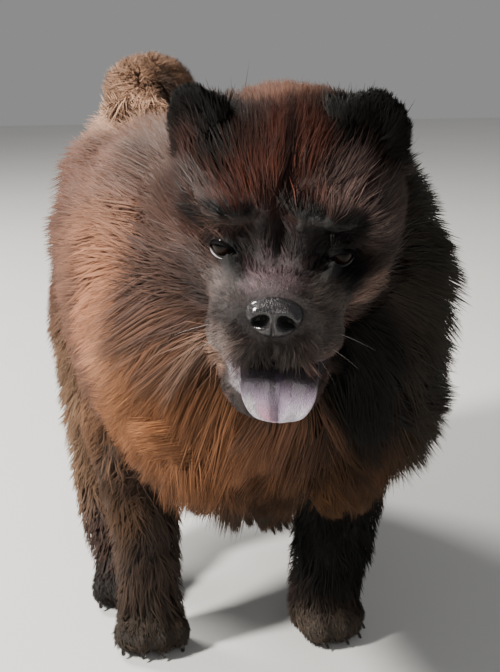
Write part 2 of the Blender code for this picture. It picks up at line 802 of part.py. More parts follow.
def centre_on_floor(nodes):
    """Moves every node so that the origin is under the middle of the whole."""
    corners = [vert.co for obj in nodes.values() for vert in obj.data.vertices]
    middle = [(min(c[k] for c in corners) + max(c[k] for c in corners)) / 2 for k in (0, 1)]
    shift = Matrix.Translation((-middle[0], -middle[1], 0))
    for obj in nodes.values():
        obj.data.transform(shift)


centre_on_floor(build())
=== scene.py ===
import math

import bmesh
import bpy
import numpy as np
from mathutils import Matrix, Vector
from mathutils.bvhtree import BVHTree
from mathutils.kdtree import KDTree


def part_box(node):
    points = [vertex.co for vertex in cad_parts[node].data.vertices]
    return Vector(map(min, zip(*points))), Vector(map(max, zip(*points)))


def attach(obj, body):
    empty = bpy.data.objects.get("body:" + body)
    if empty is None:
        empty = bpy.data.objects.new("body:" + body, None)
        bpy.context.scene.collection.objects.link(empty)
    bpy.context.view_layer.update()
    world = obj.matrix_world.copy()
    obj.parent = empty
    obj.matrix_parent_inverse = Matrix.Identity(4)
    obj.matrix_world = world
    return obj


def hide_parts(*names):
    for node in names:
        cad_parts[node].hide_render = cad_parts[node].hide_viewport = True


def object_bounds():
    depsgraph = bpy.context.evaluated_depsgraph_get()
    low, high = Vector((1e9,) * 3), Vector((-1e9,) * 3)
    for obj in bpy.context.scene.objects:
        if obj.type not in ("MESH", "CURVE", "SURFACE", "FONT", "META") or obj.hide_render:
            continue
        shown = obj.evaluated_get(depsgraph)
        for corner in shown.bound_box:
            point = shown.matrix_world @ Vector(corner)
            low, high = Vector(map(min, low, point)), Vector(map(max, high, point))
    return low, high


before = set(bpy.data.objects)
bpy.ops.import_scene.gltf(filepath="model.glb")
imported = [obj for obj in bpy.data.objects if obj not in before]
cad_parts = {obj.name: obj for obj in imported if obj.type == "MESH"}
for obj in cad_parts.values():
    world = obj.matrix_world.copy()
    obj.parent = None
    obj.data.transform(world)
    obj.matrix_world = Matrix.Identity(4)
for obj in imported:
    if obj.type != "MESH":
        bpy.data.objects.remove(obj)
solid_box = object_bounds()

# The hide. One seamless skin covers the dog, as it would be with the fur parted: it is lofted body part by
# body part, each a coat's depth inside the solid, melted together, and worked finer on the face and feet.
# The dog walks towards the camera, and its head is carried to its right, so the head has axes of its own.
eye_at = Vector((0.041, 0.004, -0.002))
face_at = Vector((-0.009, -0.223, 0.430))
head_turn = (
    Matrix.Rotation(math.radians(-16), 4, "Z")
    @ Matrix.Rotation(math.radians(12), 4, "X")
    @ Matrix.Rotation(math.radians(3.5), 4, "Y")
)
eye_corners = [Vector(corner) for side in ("left", "right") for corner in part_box(f"eye_{side}")]
# the dog's place on the floor, where its eyes meet the solids' eyes
home = sum(eye_corners, Vector()) / 4 - face_at - head_turn.to_3x3() @ Vector((0, eye_at.y, eye_at.z))
home.z = 0
on_dog = Matrix.Translation(home)
on_head = Matrix.Translation(face_at + home) @ head_turn


def carried(matrix, places):
    """An array of places, moved by a matrix."""
    full = np.array(matrix)
    return places @ full[:3, :3].T + full[:3, 3]


def sleeve(made, sides, rings, place):
    """A tube cut along its length, whose points go where place says for their turn and their way along."""
    before = len(made.verts)
    bmesh.ops.create_cone(made, cap_ends=True, segments=sides, radius1=1, radius2=1, depth=1)
    ribs = {edge for vert in list(made.verts)[before:] for edge in vert.link_edges}
    ribs = [edge for edge in ribs if abs(edge.verts[0].co.z - edge.verts[1].co.z) > 0.5]
    bmesh.ops.subdivide_edges(made, edges=ribs, cuts=rings - 2)
    verts = list(made.verts)[before:]
    raw = np.array([vert.co for vert in verts])
    moved = place(np.clip(raw[:, 2] + 0.5, 0, 1), np.arctan2(raw[:, 1], raw[:, 0]))
    for vert, spot in zip(verts, moved):
        vert.co = spot


def put_in(name, data):
    """A new object in the scene."""
    made = bpy.data.objects.new(name, data)
    bpy.context.scene.collection.objects.link(made)
    return made


def closed_mesh(name, made, alike=False):
    """The mesh of closed shapes, their faces turned outwards, all at once where the shapes are alike."""
    made.normal_update()
    if not alike:
        bmesh.ops.recalc_face_normals(made, faces=made.faces)
    if made.calc_volume(signed=True) < 0:
        bmesh.ops.reverse_faces(made, faces=made.faces)
    mesh = bpy.data.meshes.new(name)
    made.to_mesh(mesh)
    return mesh


class Form:
    """A body part as cross-sections: x, y, z, half width, reach up and down, lean, and depth of coat."""

    def __init__(self, rows, squareness=2.3, matrix=on_dog):
        self.rows, self.power, self.matrix = np.array(rows, float), 2 / squareness, matrix

    def at(self, t):
        """The sections at these shares of the way along, on a smooth curve through the rows."""
        last = len(self.rows) - 1
        way = t * last
        first = np.minimum(way.astype(int), last - 1)
        share = (way - first)[:, None]
        a, b, c, d = (self.rows[np.clip(first + step, 0, last)] for step in (-1, 0, 1, 2))
        square, cube = share**2, share**3
        return (
            (2 * cube - 3 * square + 1) * b
            + (cube - 2 * square + share) * (c - a) / 2
            + (3 * square - 2 * cube) * c
            + (cube - square) * (d - b) / 2
        )

    def surface(self, t, turn, sunk=1):
        """Places on the surface, sunk below the coat's tips by a share of its depth."""
        x, y, z, wide, up, down, lean, coat = self.at(t).T
        coat = coat * sunk
        across, rise = np.cos(turn), np.sin(turn)
        side = np.sign(across) * np.abs(across) ** self.power * np.maximum(wide - coat, 0.002)
        reach = np.maximum(np.where(rise > 0, up, down) - coat, 0.002)
        lift = np.sign(rise) * np.abs(rise) ** self.power * reach
        spots = np.stack([x + side, y + lift * np.sin(lean), z + lift * np.cos(lean)], 1)
        return carried(self.matrix, spots)

    def add_to(self, flesh, sunk=1):
        sleeve(flesh, sides=48, rings=40, place=lambda t, turn: self.surface(t, turn, sunk))

    def samples(self):
        """Places over the surface, with their depth of coat and their way round and along."""
        along, turns = np.linspace(0, 1, 60), np.linspace(-math.pi, math.pi, 64)
        t, turn = (grid.ravel() for grid in np.meshgrid(along, turns))
        around = np.stack([turn / (2 * math.pi) + 0.5, t], 1)
        return self.surface(t, turn), self.at(t)[:, 7], around


class Ball:
    """A rounded mass, such as an ear or a toe, and its coat's depth."""

    def __init__(self, matrix, centre, radii, coat):
        self.matrix, self.coat = matrix @ Matrix.Translation(centre), coat
        self.radii = np.array(radii) - coat

    def add_to(self, flesh, sunk=1):
        shape = self.matrix @ Matrix.Diagonal((*(self.radii + self.coat * (1 - sunk)), 1))
        bmesh.ops.create_icosphere(flesh, subdivisions=4, radius=1, matrix=shape)

    def samples(self):
        count, golden_turn = 1500, 2.399963
        z = 1 - (np.arange(count) + 0.5) * 2 / count
        turn = (np.arange(count) * golden_turn) % (2 * math.pi)
        flat = np.sqrt(1 - z * z)
        ball = np.stack([flat * np.cos(turn), flat * np.sin(turn), z], 1) * self.radii
        around = np.stack([turn / (2 * math.pi), z / 2 + 0.5], 1)
        return carried(self.matrix, ball), np.full(count, self.coat), around


trunk_middle, trunk_half, trunk_wide, trunk_coat = 0.3485, 0.1635, 0.160, 0.045
trunk = Form(
    [
        (0, y, trunk_middle, wide * trunk_wide, up * trunk_half, down * trunk_half, 0, trunk_coat)
        for y, wide, up, down in (
            (-0.135, 0.30, 0.30, 0.40),
            (-0.105, 0.74, 0.66, 0.86),
            (-0.051, 0.95, 0.93, 1.00),
            (0.021, 1.03, 1.04, 1.05),
            (0.117, 1.02, 1.00, 1.02),
            (0.213, 0.98, 0.98, 0.95),
            (0.309, 1.00, 1.02, 0.86),
            (0.381, 0.96, 1.00, 0.86),
            (0.435, 0.76, 0.84, 0.74),
            (0.459, 0.46, 0.54, 0.48),
            (0.465, 0.16, 0.20, 0.18),
        )
    ]
)
neck_lean = math.radians(30)
neck = Form(
    [
        (0.004, 0.062, 0.340, 0.160, 0.162, 0.170, neck_lean, 0.050),
        (0.012, -0.005, 0.350, 0.167, 0.175, 0.215, neck_lean, 0.060),
        (0.020, -0.060, 0.370, 0.167, 0.170, 0.225, neck_lean, 0.065),
        (0.023, -0.104, 0.400, 0.153, 0.148, 0.200, neck_lean, 0.065),
        (0.018, -0.144, 0.422, 0.132, 0.120, 0.156, neck_lean, 0.050),
        (0.012, -0.164, 0.432, 0.086, 0.080, 0.100, neck_lean, 0.032),
    ]
)
tail = Form(
    [
        (x, y, z, r * 1.2, r, r, math.radians(-way), 0.028)
        for x, y, z, r, way in (
            (0.000, 0.395, 0.420, 0.038, 55),
            (-0.008, 0.434, 0.468, 0.044, 75),
            (-0.018, 0.424, 0.502, 0.048, 130),
            (-0.030, 0.380, 0.510, 0.048, 180),
            (-0.037, 0.325, 0.509, 0.042, 195),
            (-0.038, 0.275, 0.500, 0.018, 205),
        )
    ],
    squareness=2,
)


def limb(coat, *rows):
    """A leg's form: its sections lie level, with reach behind and in front."""
    return Form([(*row, math.pi / 2, coat) for row in rows])


foreleg_right = limb(
    0.014,
    (-0.082, 0.055, 0.300, 0.036, 0.050, 0.044),
    (-0.100, 0.052, 0.235, 0.048, 0.060, 0.050),
    (-0.091, 0.032, 0.160, 0.043, 0.047, 0.041),
    (-0.085, 0.020, 0.095, 0.038, 0.038, 0.037),
    (-0.085, 0.014, 0.034, 0.036, 0.034, 0.036),
)
foreleg_left = limb(
    0.014,
    (0.088, 0.055, 0.300, 0.036, 0.050, 0.044),
    (0.114, 0.046, 0.235, 0.054, 0.060, 0.050),
    (0.110, 0.024, 0.160, 0.052, 0.050, 0.043),
    (0.098, 0.010, 0.095, 0.046, 0.042, 0.040),
    (0.087, 0.004, 0.034, 0.040, 0.036, 0.037),
)
thigh_right = limb(
    0.030,
    (-0.070, 0.340, 0.385, 0.040, 0.060, 0.066),
    (-0.088, 0.322, 0.330, 0.062, 0.092, 0.090),
    (-0.102, 0.285, 0.270, 0.062, 0.088, 0.085),
    (-0.104, 0.240, 0.190, 0.053, 0.062, 0.052),
    (-0.105, 0.212, 0.120, 0.046, 0.046, 0.042),
)
thigh_left = limb(
    0.030,
    (0.070, 0.350, 0.385, 0.040, 0.060, 0.066),
    (0.086, 0.352, 0.330, 0.062, 0.088, 0.090),
    (0.098, 0.362, 0.270, 0.060, 0.080, 0.085),
    (0.094, 0.392, 0.200, 0.050, 0.058, 0.058),
    (0.090, 0.420, 0.135, 0.040, 0.042, 0.040),
)
hock_right = limb(
    0.012,
    (-0.104, 0.222, 0.150, 0.042, 0.043, 0.038),
    (-0.105, 0.206, 0.105, 0.044, 0.041, 0.038),
    (-0.102, 0.165, 0.070, 0.043, 0.037, 0.037),
    (-0.096, 0.125, 0.034, 0.039, 0.035, 0.036),
)
hock_left = limb(
    0.012,
    (0.090, 0.426, 0.170, 0.036, 0.038, 0.036),
    (0.089, 0.434, 0.120, 0.036, 0.038, 0.036),
    (0.088, 0.424, 0.080, 0.036, 0.036, 0.036),
    (0.088, 0.408, 0.034, 0.036, 0.034, 0.036),
)
skull = Form(
    [
        (0, 0.135, 0.020, 0.045, 0.050, 0.050, 0, 0.020),
        (0, 0.115, 0.015, 0.082, 0.084, 0.080, 0, 0.023),
        (0, 0.070, 0.008, 0.096, 0.089, 0.090, 0, 0.022),
        (0, 0.030, 0.000, 0.088, 0.074, 0.085, 0, 0.015),
        (0, 0.004, -0.010, 0.070, 0.044, 0.070, 0, 0.008),
        (0, -0.018, -0.020, 0.055, 0.022, 0.042, 0, 0.005),
        (0, -0.045, -0.024, 0.050, 0.024, 0.034, 0, 0.004),
        (0, -0.068, -0.026, 0.045, 0.026, 0.034, 0, 0.004),
        (0, -0.080, -0.028, 0.031, 0.018, 0.028, 0, 0.003),
    ],
    squareness=2.4,
    matrix=on_head,
)
jaw = Form(
    [
        (0, 0.050, -0.078, 0.050, 0.020, 0.030, 0, 0.012),
        (0, 0.010, -0.082, 0.053, 0.018, 0.032, 0, 0.009),
        (0, -0.030, -0.088, 0.044, 0.015, 0.028, 0, 0.005),
        (0, -0.058, -0.093, 0.036, 0.014, 0.022, 0, 0.004),
        (0, -0.070, -0.096, 0.024, 0.009, 0.015, 0, 0.003),
    ],
    squareness=2.4,
    matrix=on_head,
)
ear_stands, ears = {}, []
for side, (x, y, z), lean, turn, radii in (
    (1, (0.057, 0.068, 0.064), 8, 2, (0.037, 0.018, 0.046)),
    (-1, (-0.070, 0.072, 0.062), -10, -32, (0.031, 0.018, 0.043)),
):
    stand = on_head @ Matrix.Translation((x, y, z))
    for angle, axis in ((lean, "Y"), (turn, "Z"), (8, "X")):
        stand = stand @ Matrix.Rotation(math.radians(angle), 4, axis)
    ear_stands[side] = stand
    ears.append(Ball(stand, (0, 0, 0), radii, 0.006))
paw_places = {"fore_right": (-0.084, 0.012, -4), "fore_left": (0.085, 0, 36)}
paw_places |= {"hind_right": (-0.096, 0.118, -4), "hind_left": (0.088, 0.400, 8)}
paw_stands = {
    name: on_dog @ Matrix.Translation((x, y, 0)) @ Matrix.Rotation(math.radians(way), 4, "Z")
    for name, (x, y, way) in paw_places.items()
}
toe_step, toe_reaches = 0.0178, {-1.5: -0.015, -0.5: -0.025, 0.5: -0.025, 1.5: -0.015}
paws = []
toe_height, toe_radii = 0.0175, (0.0135, 0.0215, 0.0195)
for stand in paw_stands.values():
    paws.append(Ball(stand, (0, 0, 0.024), (0.036, 0.038, 0.030), 0.006))
    for spread, reach in toe_reaches.items():
        paws.append(Ball(stand, (spread * toe_step, reach, toe_height), toe_radii, 0.004))
# the muzzle's cushions, and the padded brows beside and between the eyes
pads = [
    Ball(on_head, (side * x, y, z), radii, 0.004)
    for side in (-1, 1)
    for x, y, z, radii in (
        (0.027, -0.050, -0.043, (0.026, 0.034, 0.023)),
        (0.040, 0.006, 0.026, (0.030, 0.019, 0.014)),
        (0.013, 0.000, 0.016, (0.011, 0.014, 0.022)),
    )
]
body_parts = [trunk, neck, tail, foreleg_right, foreleg_left, thigh_right, thigh_left]
body_parts += [hock_right, hock_left, skull, jaw, *ears, *paws]


def melted(sunk, voxel, smoothing):
    """The body parts and pads melted into one closed mesh, sunk by a share of the coat's depth."""
    clay = bmesh.new()
    for part in [*body_parts, *pads]:
        part.add_to(clay, sunk)
    lump = put_in("clay", closed_mesh("clay", clay))
    melt = lump.modifiers.new("melt", "REMESH")
    melt.mode, melt.voxel_size = "VOXEL", voxel
    soften = lump.modifiers.new("soften", "SMOOTH")
    soften.factor, soften.iterations = 0.5, smoothing
    bpy.context.view_layer.update()
    graph = bpy.context.evaluated_depsgraph_get()
    made = bpy.data.meshes.new_from_object(lump.evaluated_get(graph))
    bpy.data.objects.remove(lump)
    return made


hide = bmesh.new()
hide.from_mesh(melted(sunk=1, voxel=0.0052, smoothing=4))
off_head, off_dog = on_head.inverted(), on_dog.inverted()
feet_height = 0.045


def work_finer(made, chosen):
    """Cuts each face whose middle is chosen in four."""
    faces = [face for face in made.faces if chosen(face.calc_center_median())]
    edges = list({edge for face in faces for edge in face.edges})
    bmesh.ops.subdivide_edges(made, edges=edges, cuts=1, use_grid_fill=True)


def on_face(place, low, high, back=0.05):
    """Whether a place is on the front of the head, between two heights of the head's own axes."""
    spot = off_head @ place
    return abs(spot.x) < 0.075 and -0.1 < spot.y < back and low < spot.z < high


work_finer(hide, lambda place: on_face(place, -0.13, 0.06) or (off_dog @ place).z < feet_height)
work_finer(hide, lambda place: on_face(place, -0.11, 0.040, back=0.016))
every_way = {f"use_axis_{axis}": True for axis in "xyz"}
bmesh.ops.smooth_vert(hide, verts=hide.verts, factor=0.5, **every_way)
bmesh.ops.triangulate(hide, faces=hide.faces)
hide_mesh = bpy.data.meshes.new("hide")
hide.to_mesh(hide_mesh)


def read(mesh, what, key, width, kind=np.float32):
    """One value of every element of a mesh, as an array."""
    values = np.empty(len(what) * width, kind)
    what.foreach_get(key, values)
    return values.reshape(-1, width) if width > 1 else values


def normals_of(mesh):
    return read(mesh, mesh.vertex_normals, "vector", 3)


skin_at = read(hide_mesh, hide_mesh.vertices, "co", 3).astype(float)
facing = normals_of(hide_mesh)

# Modelling the face. The padded brows, the furrow between them, the folds beside the bridge, the lips and the
# cleft are pressed into the skin. Each line is a side or both, a centre and radii in the head's axes, and a
# push out along the skin. The ears are cupped in front.
def bump_at(places, centre, radii):
    """1 at a centre, falling smoothly to 0 a little outside its radii."""
    return np.exp(-(((places - np.array(centre)) / np.array(radii)) ** 2).sum(1))


touches = [
    (2, (0.034, -0.014, 0.026), (0.020, 0.016, 0.007), 0.0062),
    (2, (0.018, -0.016, 0.014), (0.007, 0.012, 0.013), 0.0040),
    (1, (0.000, 0.000, 0.034), (0.0045, 0.040, 0.034), -0.0055),
    (1, (0.000, -0.020, 0.008), (0.006, 0.014, 0.010), -0.0034),
    (2, (0.028, -0.026, -0.010), (0.005, 0.020, 0.013), -0.0036),
    (2, (0.047, -0.020, -0.026), (0.014, 0.020, 0.010), 0.0036),
    (2, (0.052, -0.022, -0.014), (0.012, 0.020, 0.0045), -0.0032),
    (2, (0.052, -0.010, 0.012), (0.012, 0.018, 0.006), -0.0026),
    (2, (0.022, -0.074, -0.046), (0.015, 0.020, 0.013), 0.0034),
    (1, (0.000, -0.085, -0.046), (0.0024, 0.020, 0.014), -0.0022),
    (1, (0.000, -0.055, -0.004), (0.012, 0.025, 0.010), 0.0024),
]
on_face_at = carried(off_head, skin_at)
for sides, (x, y, z), radii, out in touches:
    for side in (1, -1)[:sides]:
        skin_at += facing * bump_at(on_face_at, (side * x, y, z), radii)[:, None] * out
for side, stand in ear_stands.items():
    spot = carried(stand.inverted(), skin_at)
    cup, cup_depth = bump_at(spot, (0, -0.010, 0.004), (0.015, 0.010, 0.022))[:, None], 0.0075
    skin_at += cup * np.array(stand.to_3x3() @ Vector((0, cup_depth, 0)))

# The lids' beds. Round each eye the skin is drawn on to a ball a little larger than the eyeball, so that
# the lids have a socket to lie in, and behind the eyeball where they open.
eye_radius, slit_wide, slit_high, slit_drop = 0.0120, 0.0103, 0.0053, 0.001
bed_behind, bed_rise = 0.0015, 0.0024
eye_stands = {
    side: on_head
    @ Matrix.Translation((side * eye_at.x, eye_at.y, eye_at.z))
    @ Matrix.Rotation(math.radians(side * 18), 4, "Z")
    @ Matrix.Rotation(math.radians(side * -10), 4, "Y")
    for side in (-1, 1)
}


def ease(low, high, values):
    """0 below low, 1 above high, and smooth between."""
    share = np.clip((values - low) / (high - low), 0, 1)
    return share * share * (3 - 2 * share)


def from_slit(stand, places):
    """How far places lie from the eye's opening, 1 on its edge, and large behind the eye."""
    spot = carried(stand.inverted(), places)
    near = np.hypot(spot[:, 0] / slit_wide, (spot[:, 2] + slit_drop) / slit_high)
    return np.where(spot[:, 1] < 0.004, near, 99), spot


for stand in eye_stands.values():
    near, spot = from_slit(stand, skin_at)
    radius = np.linalg.norm(spot, axis=1)
    wanted = eye_radius - bed_behind + bed_rise * ease(1.0, 1.6, near)
    pull = (1 - ease(2.4, 3.6, near)) * (near < 90)
    moved = spot * (1 + pull * (wanted / np.maximum(radius, 0.001) - 1))[:, None]
    skin_at = carried(stand, moved)
hide_mesh.vertices.foreach_set("co", skin_at.astype(np.float32).ravel())
hide_mesh.update()
facing = normals_of(hide_mesh).astype(float)
edges = read(hide_mesh, hide_mesh.edges, "vertices", 2, np.int32)
hide_mesh.calc_loop_triangles()
skin_faces = read(hide_mesh, hide_mesh.loop_triangles, "vertices", 3, np.int32)

# The bare skin. It is blue-black, wet in the mouth, and shows only at the lips, in the mouth and at the
# lids. Elsewhere it takes the colours of the fur above it, darkened, so that no gap in the coat shows pale.
def paint(red, green, blue):
    """A colour as seen on a screen, in the shader's linear light."""
    return np.array([((value / 255 + 0.055) / 1.055) ** 2.4 for value in (red, green, blue)])


def markings_and_painted_light(places):
    """The dog's colours, painted light and shade among them: a base, then patches laid over it.

    Each patch is a centre and radii in the dog's or the head's axes, a colour, a strength, and for some the
    softness of its edge.
    """
    dog, head = carried(off_dog, places), carried(off_head, places)
    colour = np.tile(paint(84, 64, 56), (len(places), 1))
    patches = [
        # the back, the sides, the belly and the rump
        # painted light, partly the coat's own colour: the dog's right side lighter
        (dog, (-0.14, 0.20, 0.38), (0.09, 0.26, 0.20), (115, 84, 72), 1.0),
        (dog, (0.00, 0.22, 0.50), (0.13, 0.26, 0.06), (112, 82, 66), 0.9),
        # painted shade, partly the coat's own colour: the dog's left flank darker
        (dog, (0.15, 0.15, 0.35), (0.07, 0.32, 0.22), (66, 50, 42), 0.9),
        (dog, (0.00, 0.10, 0.18), (0.15, 0.25, 0.05), (60, 45, 36), 0.8),
        (dog, (0.00, 0.46, 0.30), (0.15, 0.10, 0.16), (116, 88, 70), 0.8),
        # the shoulder, the chest and the ring of dark hair round the face
        # painted light over the coat's own tan: the right shoulder and the chest's right and middle brighter
        (dog, (-0.13, 0.03, 0.36), (0.06, 0.09, 0.16), (138, 101, 84), 0.9),
        (dog, (-0.145, 0.03, 0.22), (0.05, 0.08, 0.05), (132, 100, 74), 0.8),
        (dog, (-0.13, -0.09, 0.36), (0.05, 0.07, 0.09), (208, 150, 118), 1.0),
        (dog, (-0.12, -0.12, 0.31), (0.05, 0.06, 0.05), (218, 162, 126), 1.0),
        (dog, (-0.07, -0.15, 0.27), (0.085, 0.10, 0.075), (158, 110, 76), 1.0),
        (dog, (-0.03, -0.20, 0.265), (0.050, 0.07, 0.028), (184, 130, 92), 0.8),
        # painted shadow low on the chest, under the chin and the head
        (dog, (0.00, -0.17, 0.214), (0.12, 0.12, 0.045), (58, 38, 20), 1.0),
        # painted shade on the left of the chest
        (dog, (0.065, -0.18, 0.25), (0.050, 0.09, 0.07), (96, 64, 34), 1.0),
        (head, (0.00, 0.02, 0.00), (0.128, 0.30, 0.128), (98, 76, 69), 1.0, 0.05),
        # painted shade and painted sheen: the ring's left side a little darker and greyer
        (head, (0.085, 0.05, 0.01), (0.040, 0.08, 0.09), (84, 74, 68), 1.0),
        (head, (-0.100, 0.050, 0.045), (0.036, 0.12, 0.045), (82, 62, 54), 0.8),
        # painted light: the ring lighter under the right of the head, where it is shaded
        (head, (-0.075, 0.040, -0.065), (0.050, 0.12, 0.048), (108, 87, 80), 0.9),
        # painted shade: the mane darker on the dog's left
        (dog, (0.15, -0.12, 0.36), (0.07, 0.14, 0.18), (52, 48, 37), 1.0),
        # painted shadow: near-black on the upper chest below the head, on the dog's left
        (dog, (0.06, -0.19, 0.33), (0.035, 0.06, 0.06), (12, 10, 6), 1.0),
        # painted light: the right of the jaw lighter
        (head, (-0.054, -0.010, -0.100), (0.028, 0.05, 0.028), (170, 138, 120), 0.9),
        (dog, (0.00, -0.20, 0.285), (0.035, 0.06, 0.016), (150, 110, 86), 0.8),
        # the legs, the paws and the tail
        (dog, (-0.09, 0.03, 0.09), (0.06, 0.07, 0.09), (74, 61, 53), 1.0),
        # painted light on the outer side of the right foreleg
        (dog, (-0.128, 0.01, 0.10), (0.022, 0.06, 0.09), (104, 86, 75), 0.8),
        (dog, (-0.118, 0.00, 0.145), (0.03, 0.05, 0.03), (96, 73, 54), 0.8),
        # painted shade: the left foreleg near-black
        (dog, (0.095, 0.01, 0.11), (0.06, 0.07, 0.10), (10, 9, 6), 1.0),
        (dog, (-0.12, 0.22, 0.18), (0.06, 0.08, 0.12), (150, 122, 98), 0.9),
        (dog, (0.09, 0.42, 0.14), (0.06, 0.09, 0.14), (74, 57, 46), 0.9),
        (dog, (0.00, 0.20, 0.01), (0.30, 0.50, 0.035), (36, 32, 28), 0.9),
        (dog, (-0.09, -0.02, 0.022), (0.05, 0.06, 0.030), (80, 71, 62), 0.9),
        (dog, (0.085, -0.03, 0.018), (0.05, 0.06, 0.020), (94, 84, 74), 0.9),
        (dog, (-0.05, 0.33, 0.53), (0.09, 0.13, 0.07), (228, 186, 156), 1.0),
        (dog, (-0.02, 0.29, 0.53), (0.014, 0.04, 0.045), (150, 130, 118), 0.9),
        # the crown, the forehead and the cheeks
        (head, (0.00, 0.05, 0.060), (0.085, 0.08, 0.055), (61, 29, 19), 1.0),
        (head, (-0.015, 0.008, 0.043), (0.064, 0.03, 0.018), (92, 50, 38), 1.0),
        (head, (0.012, 0.031, 0.074), (0.030, 0.03, 0.03), (106, 62, 50), 0.8),
        # painted highlight: the crown's top edge pale
        (head, (0.00, 0.090, 0.095), (0.060, 0.024, 0.030), (148, 110, 94), 0.9),
        (head, (-0.079, 0.022, 0.024), (0.028, 0.04, 0.030), (60, 34, 25), 0.9),
        # painted highlights: pale hair on the left of the forehead, the temple and the cheek, which lie in
        # shade
        (head, (0.062, 0.026, 0.040), (0.036, 0.05, 0.036), (140, 121, 118), 0.8),
        (head, (0.090, 0.040, 0.030), (0.028, 0.06, 0.050), (118, 106, 102), 0.8),
        (head, (0.068, 0.003, -0.030), (0.017, 0.03, 0.012), (186, 158, 146), 0.8),
        (head, (0.000, 0.020, 0.055), (0.005, 0.07, 0.045), (36, 18, 15), 0.8),
        # the mask: brows, eyes' surrounds, bridge, muzzle and chin
        (head, (0.000, -0.050, -0.020), (0.062, 0.05, 0.040), (76, 67, 67), 1.0),
        (head, (0.000, -0.020, 0.004), (0.062, 0.030, 0.026), (44, 37, 38), 1.0),
        (head, (-0.043, -0.007, 0.031), (0.026, 0.020, 0.0050), (14, 11, 11), 1.0),
        (head, (-0.068, 0.006, 0.018), (0.010, 0.020, 0.009), (18, 14, 14), 0.9),
        (head, (0.020, -0.001, 0.031), (0.024, 0.020, 0.0065), (13, 11, 10), 1.0),
        (head, (0.046, -0.007, 0.022), (0.020, 0.024, 0.013), (10, 8, 8), 1.0),
        (head, (-0.042, -0.011, 0.021), (0.020, 0.018, 0.0055), (92, 76, 69), 0.9),
        # painted shade: near-black round and below the left eye
        (head, (0.046, -0.012, -0.006), (0.024, 0.03, 0.020), (10, 9, 9), 1.0),
        (head, (-0.004, -0.045, -0.001), (0.021, 0.035, 0.015), (128, 112, 119), 0.9),
        (head, (-0.028, -0.030, -0.012), (0.0045, 0.03, 0.012), (24, 20, 22), 0.8),
        (head, (-0.041, -0.012, -0.001), (0.0150, 0.02, 0.0095), (16, 13, 13), 1.0),
        (head, (-0.040, -0.030, -0.0125), (0.013, 0.02, 0.0045), (116, 106, 106), 0.8),
        (head, (-0.064, 0.000, -0.032), (0.018, 0.03, 0.026), (76, 64, 62), 0.9),
        (head, (-0.028, -0.079, -0.024), (0.012, 0.03, 0.014), (64, 57, 57), 0.8),
        # painted light: the muzzle's lower right paler
        (head, (-0.034, -0.074, -0.047), (0.014, 0.04, 0.016), (156, 143, 139), 0.9),
        (head, (0.038, -0.060, -0.022), (0.018, 0.04, 0.022), (108, 102, 97), 0.8),
        (head, (0.000, -0.082, -0.048), (0.026, 0.02, 0.012), (66, 61, 58), 1.0),
        (head, (0.000, -0.050, -0.108), (0.050, 0.06, 0.020), (64, 47, 40), 0.9),
        (head, (-0.034, -0.058, -0.096), (0.014, 0.04, 0.016), (66, 53, 52), 0.9),
    ]
    usual_edge = 0.4
    for seen, centre, radii, hue, strength, *edge in patches:
        away = np.linalg.norm((seen - np.array(centre)) / np.array(radii), axis=1)
        soft = edge[0] if edge else usual_edge
        weight = ((1 - ease(1 - soft, 1 + soft, away)) * strength)[:, None]
        colour = colour * (1 - weight) + paint(*hue) * weight
    for side, stand in ear_stands.items():
        spot = carried(stand.inverted(), places)
        ear = np.minimum(bump_at(spot, (0, 0, 0.012), (0.042, 0.034, 0.040)) * 1.8, 1)[:, None]
        colour = colour * (1 - ear) + paint(15, 13, 10) * ear
        cup = bump_at(spot, (0, -0.014, -0.010), (0.013, 0.012, 0.018))[:, None]
        cup = cup * (0.9 if side < 0 else 0.3)
        colour = colour * (1 - cup) + paint(78, 48, 43) * cup
    darker_and_warmer = (0.53, 0.49, 0.465)
    return colour * darker_and_warmer


def between(low, values, high):
    return (values > low) & (values < high)


def inside_mouth(places, normals):
    """1 on the palate, the inner lips and the floor of the mouth, and 0 elsewhere."""
    x, y, z = carried(off_head, places).T
    facing_up = (normals @ np.array(on_head.to_3x3()))[:, 2]
    deep = between(-0.086, y, 0.035) & (np.abs(x) < 0.046)
    palate = ease(0.50, 0.75, -facing_up) * between(-0.075, z, -0.048)
    floor_of_mouth = ease(0.55, 0.80, facing_up) * between(-0.100, z, -0.062)
    back = between(-0.085, z, -0.055) & (np.abs(x) < 0.034) & (y > -0.05)
    return deep * np.maximum(np.maximum(palate, floor_of_mouth), back)


def set_values(mesh, name, values, kind="FLOAT"):
    """Gives every point of a mesh a named value, which its material reads."""
    keys = {"FLOAT": "value", "FLOAT_VECTOR": "vector", "FLOAT_COLOR": "color"}
    layer = mesh.attributes.new(name, kind, "POINT")
    layer.data.foreach_set(keys[kind], np.asarray(values, np.float32).ravel())


def set_colours(mesh, name, colours):
    set_values(mesh, name, np.concatenate([colours, np.ones((len(colours), 1))], 1), "FLOAT_COLOR")


